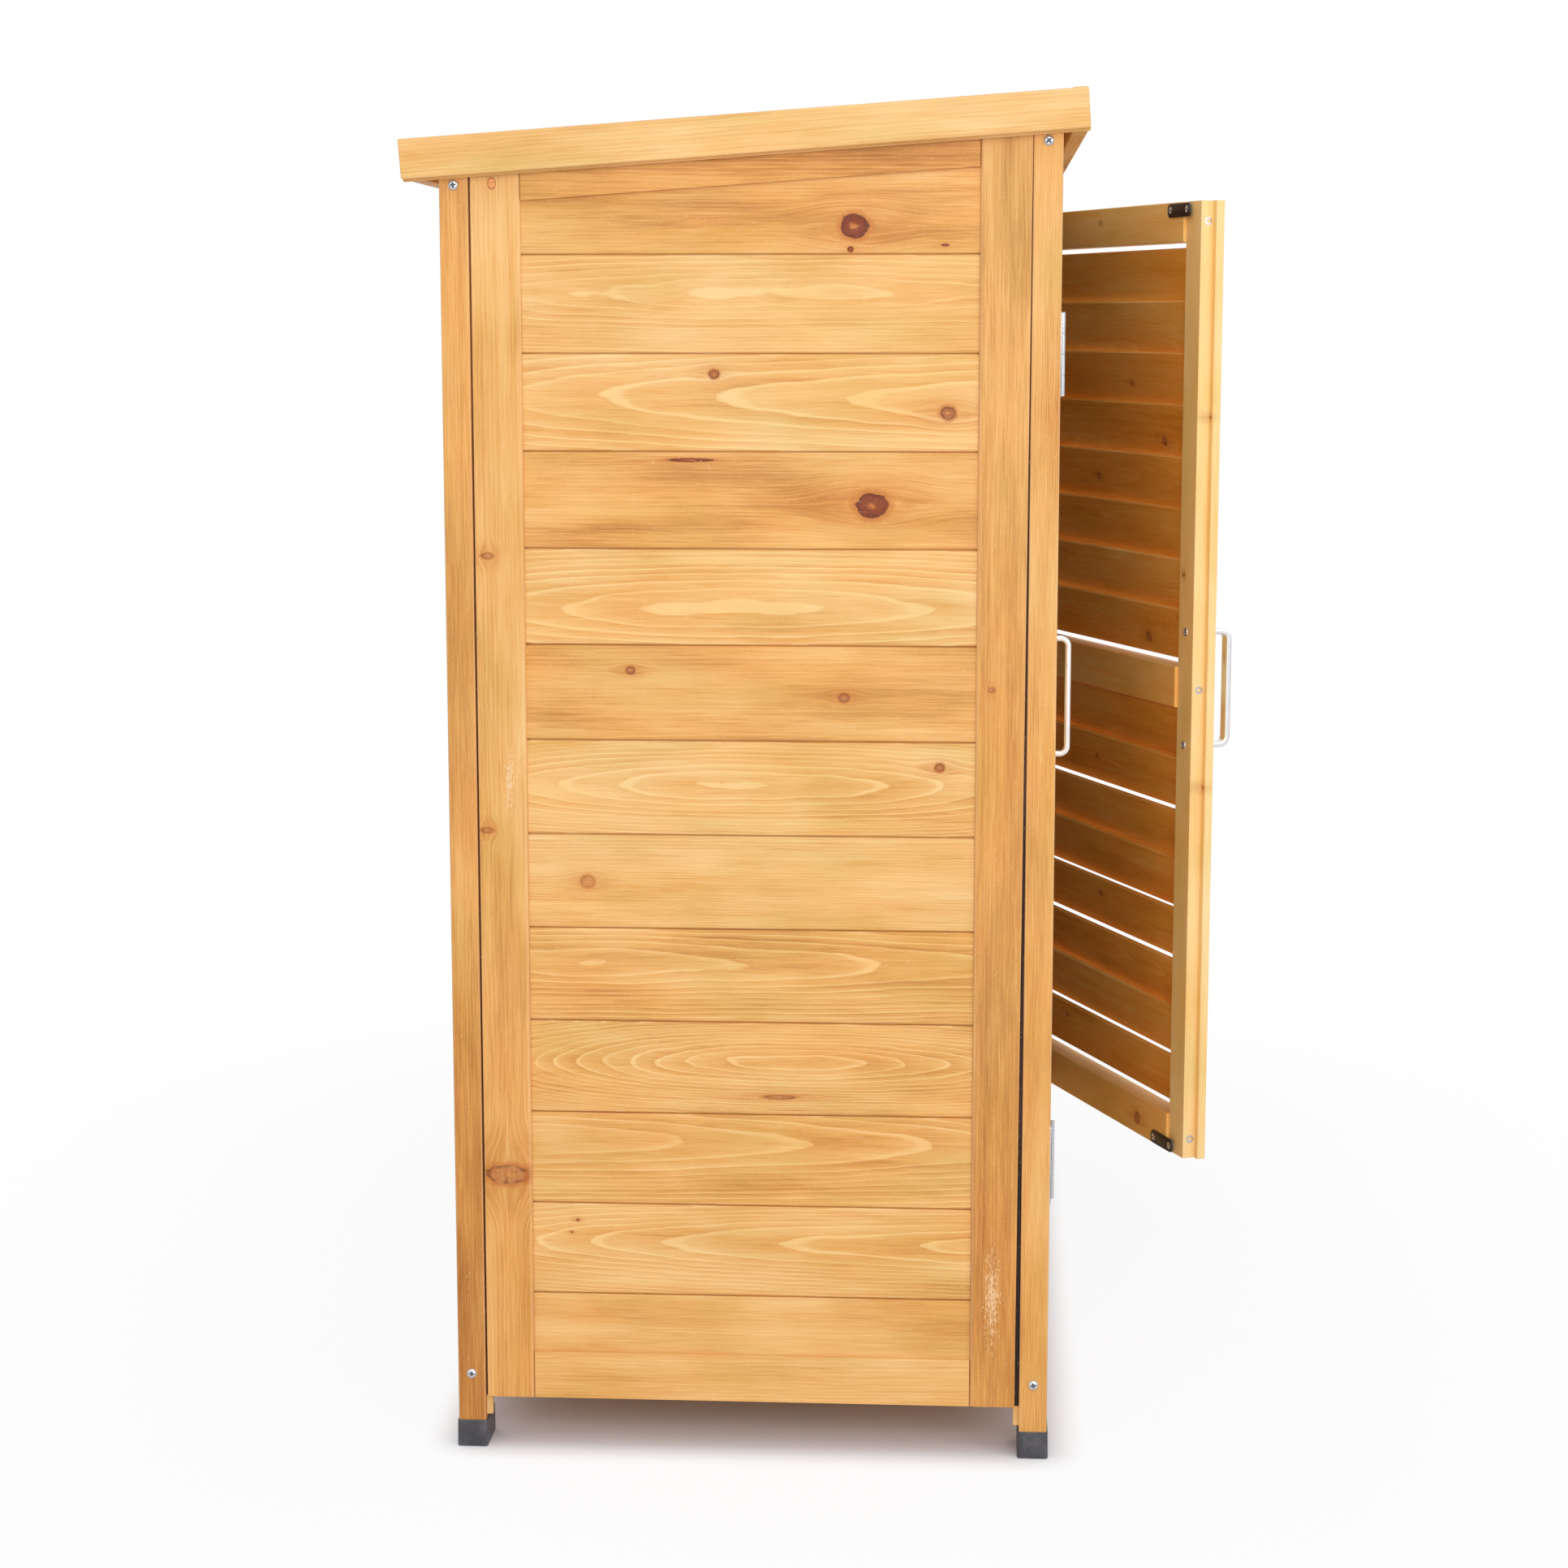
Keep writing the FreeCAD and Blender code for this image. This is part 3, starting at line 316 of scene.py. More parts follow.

    # Rubbed places and lit edges: short pale specks round one point, and along the
    # rounded edges thin varnish with a painted highlight
    place = add(tree, "VectorMath", (grain, scuff), operation="SUBTRACT")
    place = add(tree, "VectorMath", (place, (1.0, 6.0, 0.0)), operation="MULTIPLY")
    reach = add(tree, "VectorMath", (place,), out="Value", operation="LENGTH")
    size = add(tree, "SeparateXYZ", (scuff,), out=2)
    size = add(tree, "Math", (size, least_mark), operation="MAXIMUM")
    reach = add(tree, "Math", (reach, size), operation="DIVIDE")
    reach = add(tree, "MapRange", (reach, 1.0, 0.1, 0.0, 0.26))
    scuff_and_highlight = add(tree, "Math", (clouds["speck"], reach), operation="ADD")
    scuff_and_highlight = add(tree, "MapRange", (scuff_and_highlight, 0.66, 0.76, 0.0, 0.75))
    edge_wear_and_highlight = add(tree, "Math", (edge_wear_and_highlight, fibre), operation="MULTIPLY")
    scuff_and_highlight = add(tree, "Math", (edge_wear_and_highlight, 0.5, scuff_and_highlight), operation="MULTIPLY_ADD", use_clamp=True)
    colour = add(tree, "MixRGB", (scuff_and_highlight, colour, linear(scuff_and_highlight_fir)))

    height = add(tree, "Math", (line, 0.5), operation="MULTIPLY")
    height = add(tree, "Math", (fibre, 0.9, height), operation="MULTIPLY_ADD")
    cracked = add(tree, "Math", (crack, core), operation="MULTIPLY")
    height = add(tree, "Math", (cracked, -1.2, height), operation="MULTIPLY_ADD")
    bump = add(tree, "Bump", {"Strength": 0.5, "Distance": fibre_height, "Height": height})
    rough = add(tree, "MapRange", (fibre, 0.3, 0.7, 0.42, 0.58))
    rough = add(tree, "Math", (scuff_and_highlight, 0.25, rough), operation="MULTIPLY_ADD")
    return add(tree, "BsdfPrincipled", {"Base Color": colour, "Roughness": rough,
                                        "Normal": bump, "IOR": varnish_ior})


def stained_fir(name, shades=(fir_pale, fir_honey, fir_deep)):
    """Planed fir with honey stain and satin varnish, read from a board's own values: pale
    late wood, darker early wood, brown knots, and a soft gloss that the fibres break."""
    material, tree = painted(name)
    values = {value: add(tree, "Attribute", out="Vector", attribute_name=value)
              for value in wood_names}
    knots = [values.pop(f"knot_{i}") for i in (1, 2, 3)]
    output(tree, fir_surface(tree, knots=knots, shades=shades, **values))
    return material


def rounded(corners, radius, steps=3):
    """A closed outline whose corners are arcs, and how near each point is to a bend's middle.

    Between the two points where an arc leaves its sides, it is the slerp of the two spokes
    from its centre, which stands off the corner by radius over the sine of half the angle.
    """
    p = np.asarray(corners, float)
    r = np.broadcast_to(np.asarray(radius, float), len(p))[:, None]
    u = np.roll(p, 1, axis=0) - p
    v = np.roll(p, -1, axis=0) - p
    u /= np.linalg.norm(u, axis=1, keepdims=True)
    v /= np.linalg.norm(v, axis=1, keepdims=True)
    angle = np.arccos(np.clip((u * v).sum(1, keepdims=True), -1, 1))
    bisector = (u + v) / np.linalg.norm(u + v, axis=1, keepdims=True)
    centre = p + bisector * r / np.sin(angle / 2)
    first = p + u * r / np.tan(angle / 2) - centre
    last = p + v * r / np.tan(angle / 2) - centre
    turn = (np.pi - angle)[:, None]
    f = np.linspace(0, 1, steps + 1)[None, :, None]
    arc = np.sin((1 - f) * turn) * first[:, None] + np.sin(f * turn) * last[:, None]
    points = (centre[:, None] + arc / np.sin(turn)).reshape(-1, 2)
    bend = (np.sin(np.pi * f) * np.ones((len(p), 1, 1))).reshape(-1)
    x, y = points.T
    if np.sum(x * np.roll(y, -1) - np.roll(x, -1) * y) < 0:
        points, bend = points[::-1], bend[::-1]
    return points, bend


def inset(outline, distance):
    """The outline moved inwards: each point goes along the mean normal of its two sides."""
    ahead = np.roll(outline, -1, axis=0) - outline
    behind = outline - np.roll(outline, 1, axis=0)
    way = ahead / np.linalg.norm(ahead, axis=1, keepdims=True)
    way = way + behind / np.linalg.norm(behind, axis=1, keepdims=True)
    way /= np.linalg.norm(way, axis=1, keepdims=True)
    return outline + distance * np.stack([-way[:, 1], way[:, 0]], axis=1)


def skin(rows, axes=None):
    """Quads between rows of points that each go once round, and a face over either end; turned
    over where the axes that the rows are given in are left-handed."""
    n, m = rows.shape[:2]
    i, j = np.meshgrid(np.arange(n - 1), np.arange(m), indexing="ij")
    k = (j + 1) % m
    quads = np.stack([i * m + j, i * m + k, (i + 1) * m + k, (i + 1) * m + j], axis=2)
    quads = quads.reshape(-1, 4)
    ends = np.stack([np.arange(m)[::-1], np.arange((n - 1) * m, n * m)])
    if axes is not None and np.dot(np.cross(axes[0], axes[1]), axes[2]) < 0:
        quads, ends = quads[:, ::-1], ends[:, ::-1]
    return quads, ends


def wood_values(count, **values):
    """The same values of a board at each of its vertices."""
    same = {"heart": (0.02, -0.03, 0.0), "growth": (0.0, 1.8 * mm, 12.0),
            "figure": plain_figure, "finish": (0.0, 0.5, 0.0),
            "knot_1": no_knot, "knot_2": no_knot, "knot_3": no_knot, "runs": (1, 1, 1),
            "scuff": no_knot}
    same.update(values)
    return {name: np.tile(value, (count, 1)).astype(float) for name, value in same.items()}


def timber(origin, axes, length, outline, shape=None, heart=None, growth=None, knots=(),
           runs=(1.15, 1.15, 1.15), scuff=no_knot, tone=None, figure=plain_figure,
           foot_tone=0.0, end_ease=0.8 * mm):
    """A board as vertices, faces and what its wood is like.

    The outline (across, out) is carried along a straight line and drawn in at both ends by a
    quarter circle. shape may move the completed (along, across, out) grid. axes are the
    directions along, across and out. foot_tone darkens the colour towards the start.
    """
    points, bend = outline
    quarter = np.linspace(0, np.pi / 2, 4)
    step = end_ease * (1 - np.cos(quarter))
    draw = end_ease * (1 - np.sin(quarter))
    stations = np.concatenate([step, length - step[::-1]])
    rows = np.stack([inset(points, s) for s in np.concatenate([draw, draw[::-1]])])
    grid = np.broadcast_to(stations[:, None, None], rows.shape[:2] + (1,))
    grid = np.concatenate([grid, rows], axis=2)
    if shape is not None:
        grid = shape(grid)
    along, across, out = np.array(axes, float)
    verts = np.asarray(origin, float) + grid.reshape(-1, 3) @ np.array([along, across, out])
    if heart is None:
        heart = (chooser.uniform(-0.05, 0.05), chooser.uniform(-0.06, -0.015),
                 chooser.uniform(0, 0.15))
    if growth is None:
        growth = (chooser.uniform(0.1, 0.9) * length, chooser.uniform(1.5, 2.6) * mm)
    if tone is None:
        tone = chooser.uniform(0, 1)
    knots = list(knots) + [no_knot] * (3 - len(knots))
    wood = wood_values(len(verts), heart=heart, growth=(*growth, chooser.uniform(0, 90)),
                       runs=runs, knot_1=knots[0], knot_2=knots[1], knot_3=knots[2],
                       scuff=scuff, figure=figure, finish=(0, tone, 0))
    wood["grain"] = grid.reshape(-1, 3)
    # The rounded edges pale the stain: wear, and painted highlight along the arrises
    wood["finish"][:, 0] = np.tile(bend, len(rows))
    wood["finish"][:, 1] += foot_tone * (1 - wood["grain"][:, 0] / length)
    return verts, skin(rows, (across, out, along)), wood


def piece(name, parts, material, body, nodes=(), smooth=False):
    """One object from several lists of vertices, faces and values at the vertices."""
    start = 0
    faces = []
    for verts, (quads, ends), _ in parts:
        faces += (quads + start).tolist() + (ends + start).tolist()
        start += len(verts)
    mesh = bpy.data.meshes.new(name)
    mesh.from_pydata(np.concatenate([part[0] for part in parts]).tolist(), [], faces)
    for value_name in parts[0][2]:
        values = np.concatenate([part[2][value_name] for part in parts]).astype(np.float32)
        attribute = mesh.attributes.new(value_name, "FLOAT_VECTOR", "POINT")
        attribute.data.foreach_set("vector", values.ravel())
    if smooth:
        mesh.shade_smooth()
        mesh.set_sharp_from_angle(angle=math.radians(34))
    item = bpy.data.objects.new(name, mesh)
    bpy.context.scene.collection.objects.link(item)
    mesh.materials.append(material)
    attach(item, body)
    if nodes:
        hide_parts(*nodes)
    return item


def roof_cut(slope):
    """Cuts a board's far end to the roof: it moves by slope times (across, out)."""
    def shape(grid):
        moved = grid.copy()
        half = len(grid) // 2
        moved[half:, :, 0] += grid[half:, :, 1] * slope[0] + grid[half:, :, 2] * slope[1]
        return moved
    return shape


def rectangle(low, high):
    """The four corners of a rectangle, anticlockwise."""
    return [(low[0], low[1]), (high[0], low[1]), (high[0], high[1]), (low[0], high[1])]


def bar_section(half_wide, half_deep, radius, steps=3):
    """A bar's rounded section about its middle."""
    return rounded(rectangle((-half_wide, -half_deep), (half_wide, half_deep)), radius, steps)


X, Y, Z = np.eye(3)
fir = stained_fir("honey_stained_fir")
# Painted shade: a dark brown to near-black copy of the fir for the post tongues inside their
# joints
tongue_painted_shade_fir = stained_fir("painted_shade_tongue_fir", ("#8A5528", "#4E2C14", "#1C0E06"))
sides = {"left": -1, "right": 1}
for side, hand in sides.items():
    for end, facing in (("front", 1), ("back", -1)):
        low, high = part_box(f"{side}_{end}_post")
        axes = (Z, hand * X, facing * Y)
        outer_y = low.y if facing > 0 else high.y
        outer_x = high.x if hand > 0 else low.x
        cut = roof_cut((0, -facing * roof_fall))
        wide = (high.x - low.x) / 2
        deep = post_depth / 2
        y = outer_y + facing * deep
        post = timber(((low.x + high.x) / 2, y, low.z), axes,
                      high.z - (y - low.y) * roof_fall - low.z,
                      bar_section(wide, deep, arris), shape=cut, heart=(0.02, -0.03, 0.01),
                      growth=(0.4, 1.7 * mm), tone=post_tone[end],
                      foot_tone=post_foot_tone[end])
        half = tongue_reach / 2
        y = outer_y + facing * (post_depth + half)
        outline = rounded(rectangle((-tongue_width / 2, -half - tongue_root),
                                    (tongue_width / 2, half)), tongue_edge)
        # The upper tongue takes that painted shade, darkest at its foot, where the gap is widest
        tongue = [timber((outer_x - hand * tongue_depth, y, start), axes, stop - start, outline,
                         tone=-0.3, foot_tone=foot, end_ease=0.3 * mm)
                  for start, stop, foot in ((tongue_bottom, panel_bottom, 0.0),
                                            (panel_bottom, high.z - tongue_below_roof, 3.0))]
        piece(f"{side}_{end}_post_wood", [post, tongue[0]], fir, "cabinet",
              [f"{side}_{end}_post"])
        piece(f"{side}_{end}_post_tongue", [tongue[1]], tongue_painted_shade_fir, "cabinet")

# Foot caps: black moulded polythene pushed over the feet, with rounded corners,
# a slight taper and the fine spark texture of the mould.
cap_black = "#424247"
cap_dust = "#6E6E76"
cap_wall = 1.0 * mm
cap_radius = 2.2 * mm
cap_draft = 0.25 * mm
cap_sole = 0.8 * mm
cap_floor = 2.5 * mm
cap_rim = (0.3 * mm, 0.4 * mm)
spark_size = 0.5 * mm
spark_height = 0.06 * mm
dust_per_metre = 70


def moulded_plastic(name, colour, dust, grain_size):
    """Injection moulded plastic: a soft wide gloss broken by the mould's spark texture,
    and a little pale dust."""
    material, tree = painted(name)
    place = add(tree, "TexCoord", out="Object")
    spark = add(tree, "TexNoise", {"Vector": place, "Scale": 1 / grain_size, "Detail": 2.0})
    cloud = add(tree, "TexNoise", {"Vector": place, "Scale": dust_per_metre, "Detail": 3.0})
    dusty = add(tree, "MapRange", (cloud, 0.42, 0.7, 0.0, 0.6))
    tint = add(tree, "MixRGB", (dusty, linear(colour), linear(dust)))
    rough = add(tree, "MapRange", (cloud, 0.3, 0.7, 0.36, 0.55))
    bump = add(tree, "Bump", {"Strength": 0.4, "Distance": spark_height, "Height": spark})
    output(tree, add(tree, "BsdfPrincipled", {"Base Color": tint, "Roughness": rough,
                                              "Normal": bump, "IOR": 1.51}))
    return material


def lofted(rows, axes=(X, Y, Z), place=(0, 0, 0)):
    """A closed skin through rows of points that are given along three axes from a place."""
    rows = np.asarray(rows, float)
    verts = np.asarray(place, float) + rows.reshape(-1, 3) @ np.array(axes, float)
    return verts, skin(rows, np.array(axes, float)), {}


def level(outline, z):
    """An outline of (x, y) points at one height."""
    return np.concatenate([outline, np.full((len(outline), 1), z)], axis=1)


polythene = moulded_plastic("moulded_polythene", cap_black, cap_dust, spark_size)
for side in sides:
    for end in ("front", "back"):
        low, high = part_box(f"{side}_{end}_foot_cap")
        outer = rounded(rectangle(low, high), cap_radius, 6)[0]
        hollow = rounded(rectangle((low.x + cap_wall, low.y + cap_wall),
                                   (high.x - cap_wall, high.y - cap_wall)),
                         cap_radius - cap_wall, 6)[0]
        rows = [level(inset(outer, cap_sole), low.z),
                level(inset(outer, 0.3 * cap_sole), low.z + 0.3 * cap_sole),
                level(outer, low.z + cap_sole),
                level(inset(outer, cap_draft), high.z - cap_rim[1]),
                level(inset(outer, cap_draft + cap_rim[0]), high.z),
                level(hollow, high.z), level(hollow, low.z + cap_floor)]
        piece(f"{side}_{end}_foot_cap_moulding", [lofted(rows)], polythene, "cabinet",
              [f"{side}_{end}_foot_cap"], smooth=True)

# Side frames: two stiles and two rails of fir round the planks, a millimetre behind
# the posts' faces, held by the posts' tongues. The near front stile has shrunk away
# from its post towards the foot. The near back stile has three flat brown knots.
stile_width = 34.5 * mm
stile_round = 2.5 * mm
post_side_edge = 0.9 * mm
inner_edge = 0.6 * mm
tongue_slot = (3.15 * mm, 7.0 * mm)
plank_slot = (6.15 * mm, 8.3 * mm)
shrunk_by = 3.2 * mm
shrink_curve = 1.2
shrink_margin = 2 * mm
pushed_out = 0.95 * mm
rail_edge = 0.25 * mm
rail_tenon = 6 * mm
near_stile = {
    "back": dict(knots=[(610.6 * mm, -8.9 * mm, 4.4 * mm), (416.9 * mm, -11.8 * mm, 4.6 * mm),
                        (166.6 * mm, -0.7 * mm, 17.0 * mm)], runs=(0.5, 0.45, 0.42),
                 scuff=(453.6 * mm, 4.9 * mm, 34 * mm), tone=0.75,
                 figure=(0.35, 0.8, 0.7), foot_tone=0.2),
    "front": dict(knots=[(519 * mm, 6.3 * mm, 2.2 * mm)], runs=(0.8, 1, 1),
                  scuff=(81 * mm, 1.8 * mm, 52 * mm), tone=1.05,
                  figure=(0.25, 0.7, 0.4), foot_tone=0.8),
}
for side, hand in sides.items():
    for end, facing in (("front", 1), ("back", -1)):
        low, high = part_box(f"{side}_side_{end}_stile")
        deep = (high.x - low.x) / 2
        half = stile_width / 2
        into, slot = plank_slot[0], plank_slot[1] / 2
        inward, groove = tongue_slot[0], tongue_slot[1] / 2
        corners = [(half, -deep), (half, -slot), (half - into, -slot), (half - into, slot),
                   (half, slot), (half, deep), (-half, deep), (-half, groove),
                   (-half + inward, groove), (-half + inward, -groove), (-half, -groove),
                   (-half, -deep)]
        radii = [inner_edge, *[square_edge] * 4, stile_round, post_side_edge,
                 *[square_edge] * 4, inner_edge]
        y = (low.y + high.y) / 2
        length = high.z - (y - low.y) * roof_fall - low.z
        near = side == "left"
        cut = roof_cut((-facing * roof_fall, 0))

        def fitted(grid, cut=cut, shrinks=near and end == "front", length=length, half=half):
            """Cuts the top and lets the near front stile stand off its post lower down."""
            moved = cut(grid)
            if shrinks:
                from_post = grid[..., 1] + half
                beside_post = np.clip(1 - from_post / shrink_margin, 0, 1)
                lower_down = (1 - grid[..., 0] / length) ** shrink_curve
                moved[..., 1] += (shrunk_by * lower_down - pushed_out) * beside_post
            return moved

        board = timber(((low.x + high.x) / 2, y, low.z), (Z, facing * Y, hand * X), length,
                       rounded(corners, radii), shape=fitted,
                       heart=(0.03 if end == "front" else -0.035, -0.02, 0.01),
                       growth=(0.3, 2.1 * mm), end_ease=0.25 * mm,
                       **(near_stile[end] if near else {}))
        piece(f"{side}_side_{end}_stile_wood", [board], fir, "cabinet",
              [f"{side}_side_{end}_stile"])

    for level_name in ("top", "bottom"):
        low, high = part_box(f"{side}_side_{level_name}_rail")
        top = level_name == "top"
        deep = (high.x - low.x) / 2
        half = stile_width / 2
        into, slot = plank_slot[0], plank_slot[1] / 2
        corners = [(-half, -deep), (half, -deep), (half, -slot), (half - into, -slot),
                   (half - into, slot), (half, slot), (half, deep), (-half, deep)]
        if top:
            corners = [(-across, out) for across, out in corners]
        radii = [inner_edge] * 2 + [square_edge] * 4 + [rail_edge, inner_edge]
        fall = roof_fall if top else 0.0
        middle_z = high.z - rail_tenon * fall - half if top else low.z + half

        def along_roof(grid, fall=fall):
            """Lets the rail fall to the back with the roof."""
            moved = grid.copy()
            moved[..., 1] -= fall * grid[..., 0]
            return moved

        # A top rail's stain is 1.5 tones dark: partly its own stain, partly painted shade from
        # the fascia's overhang
        board = timber(((low.x + high.x) / 2, low.y + rail_tenon, middle_z), (Y, Z, hand * X),
                       high.y - low.y - 2 * rail_tenon, rounded(corners, radii, 2),
                       shape=along_roof, heart=(0.03, -0.03, 0.05), runs=(4.5, 1, 1),
                       knots=[(256 * mm, 0.0, 2.2 * mm)] if top else [],
                       tone=1.5 if top else 0.6, end_ease=0.3 * mm)
        piece(f"{side}_side_{level_name}_rail_wood", [board], fir, "cabinet",
              [f"{side}_side_{level_name}_rail"])

# The filled oval near the top of the near back stile, where a flaw was cut out: a
# thin lens of paler wood glued in and planed nearly flush, with painted shade along its edge.
plug_place = (243.8 * mm, 902.9 * mm)
plug_half = (2.9 * mm, 4.3 * mm)
plug_rise = 0.35 * mm
plug_depth = 1 * mm


def lens(half_sizes, rise, rings=9, points=36):
    """A shallow dome on an oval and the share of the way to its edge: the height is rise
    times one minus the sixth power of that share, and a wall closes it behind."""
    turn = np.arange(points) * 2 * np.pi / points
    share, turn = np.meshgrid(np.linspace(1, 0.04, rings), turn, indexing="ij")
    rows = np.stack([share * np.cos(turn) * half_sizes[0], share * np.sin(turn) * half_sizes[1],
                     rise * (1 - share ** 6)], axis=2)
    wall = rows[:1] - [0, 0, plug_depth]
    return np.concatenate([wall, rows]), np.concatenate([share[:1], share]).reshape(-1)


low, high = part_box("left_side_back_stile")
rows, share = lens(plug_half, plug_rise)
verts, faces, _ = lofted(rows, (-Y, Z, -X), (low.x, *plug_place))
wood = wood_values(len(verts), heart=(0.02, -0.03, 0.0), growth=(0.0, 1.4 * mm, 12.0))
wood["grain"] = rows.reshape(-1, 3)
# The stain darkens steeply at the rim: painted shade for the thin gap round the plug
wood["finish"][:, 1] = 0.9 + 3 * share ** 12
plug_fir = stained_fir("plug_fir", ("#F6C090", "#E8A468", "#A0602E"))
piece("left_side_back_stile_plug", [(verts, faces, wood)], plug_fir, "cabinet",
      smooth=True)

# Planks: tongued and grooved fir boards, lying, with a small chamfer along each
# joint. Those of the near side show its knots, a bark streak, and the long
# ellipses of flat-sawn wood.
plank_pitch = 67.2 * mm
plank_gap = 0.9 * mm
plank_chamfer = 0.9 * mm
tongue_height = 4 * mm
tongue_half = 1.3 * mm
groove_half = 1.5 * mm
joint_height = 855 * mm
plank_edge = 0.25 * mm

# The near planks from the top down. Knots are (from the back edge, height, radius), heart
# is (height, behind the face, bow) and growth (its crown, ring width), all in mm but bow.
near_planks = [
    dict(tone=0.9, figure=(0.3, 0.0, 1.0), heart=(120, -10, 0.02), growth=(150, 2.6),
         knots=[(235.1, 873.6, 8.0), (232.4, 858.3, 1.9), (297, 861, 0.9)],
         runs=(1.2, 1.1, 3.0)),
    dict(tone=0.15, figure=(0.7, 0.9, 0.8), heart=(829.4, -20, 0.10), growth=(190, 2.0)),
    dict(tone=0.10, figure=(0.9, 0.45, 0.6), heart=(757, -26, 0.045), growth=(560, 3.2),
         knots=[(138.8, 773.7, 3.2), (299.6, 747.4, 4.6)]),
    dict(tone=0.95, figure=(0.35, 0.05, 1.2), heart=(640, -14, 0.02), growth=(100, 2.4),
         knots=[(247.5, 683.9, 8.8), (121.7, 714.8, 1.3)], runs=(1.25, 13.0, 1.0)),
    dict(tone=0.15, figure=(0.9, 0.9, 0.7), heart=(612.1, -24, 0.19), growth=(163.7, 2.9)),
    dict(tone=0.95, figure=(0.3, 0.5, 1.0), heart=(510, -20, 0.06), growth=(190, 2.6),
         knots=[(79.4, 568.3, 2.8), (228.9, 550.0, 3.2)]),
    dict(tone=0.25, figure=(0.9, 0.6, 0.7), heart=(487.6, -22, 0.22), growth=(166.4, 2.1),
         knots=[(295.9, 501.4, 3.0)]),
    dict(tone=0.20, figure=(0.5, 1.0, 0.7), heart=(470, -20, 0.01), growth=(160, 1.6),
         knots=[(47.7, 418.0, 4.0)]),
    dict(tone=0.65, figure=(0.8, 0.8, 0.7), heart=(360, -30, 0.05), growth=(30, 2.0)),
    dict(tone=0.55, figure=(1.0, 0.7, 0.7), heart=(288.4, -17, 0.30), growth=(200.8, 1.5),
         knots=[(184, 263.3, 1.6)], runs=(7.0, 1, 1)),
    dict(tone=0.5, figure=(0.8, 0.8, 0.8), heart=(228.9, -20, 0.05), growth=(-160, 2.7)),
    dict(tone=0.45, figure=(0.9, 0.5, 0.7), heart=(155, -18, 0.06), growth=(420, 2.0),
         knots=[(38.3, 170.4, 1.1), (34.0, 161.2, 0.8)]),
    dict(tone=0.55, figure=(0.4, 0.8, 0.8), heart=(150, -20, 0.01), growth=(100, 1.6)),
]
knotty_share = 0.45


def plank_outline(low, high, grooved, tongued, half):
    """The middle height of a plank and its section (height, out): tongue up, groove down."""
    c = plank_chamfer
    middle = (low + high) / 2
    bottom = low - middle + (plank_gap / 2 if grooved else 0)
    top = high - middle - (plank_gap / 2 if tongued else 0)
    points = [(top - c, half), (bottom + c, half), (bottom, half - c)]
    if grooved:
        end = bottom + tongue_height + plank_gap
        points += [(bottom, groove_half), (end, groove_half), (end, -groove_half),
                   (bottom, -groove_half)]
    points += [(bottom, -half), (top, -half)]
    if tongued:
        end = top + tongue_height
        points += [(top, -tongue_half), (end, -tongue_half), (end, tongue_half),
                   (top, tongue_half)]
    points += [(top, half - c)]
    return middle, rounded(points, plank_edge, 2)


def plank_wall(origin, axes, length, low, high, half, cut_top=None, told=None):
    """All the planks of one wall, from the bottom up; told describes them from the top down."""
    joints = joint_height - plank_pitch * np.arange(40)
    joints = joints[joints > low + tongue_height][::-1]
    edges = [low, *joints, high]
    parts = []
    for i, (bottom, top) in enumerate(zip(edges[:-1], edges[1:])):
        last = i == len(edges) - 2
        middle, outline = plank_outline(bottom, top, i > 0, not last, half)
        wood = {}
        if told:
            wood = dict(told[len(edges) - 2 - i])
            height, behind, bow = wood["heart"]
            wood["heart"] = (height * mm - middle, behind * mm, bow)
            wood["growth"] = np.array(wood["growth"]) * mm
            wood["knots"] = [(along * mm, height * mm - middle, radius * mm)
                             for along, height, radius in wood.get("knots", [])]
        elif chooser.uniform() < knotty_share:
            wood["knots"] = [(chooser.uniform(0.05, length - 0.05),
                              chooser.uniform(-0.02, 0.02), chooser.uniform(2, 7) * mm)]
        parts.append(timber(np.asarray(origin, float) + middle * Z, axes, length, outline,
                            shape=cut_top if last else None, end_ease=0.2 * mm, **wood))
    return parts


for side, hand in sides.items():
    low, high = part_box(f"{side}_side_planks")

    def cut_top(grid, run=high.y - low.y):
        """Takes the top plank's upper edge down along the slope, front high and back low."""
        moved = grid.copy()
        moved[..., 1] -= np.where(grid[..., 1] > 0, roof_fall * (run - grid[..., 0]), 0)
        return moved

    parts = plank_wall(((low.x + high.x) / 2, high.y, 0), (-Y, Z, hand * X), high.y - low.y,
                       low.z, high.z, (high.x - low.x) / 2, cut_top,
                       near_planks if side == "left" else None)
    piece(f"{side}_side_planking", parts, fir, "cabinet", [f"{side}_side_planks"])

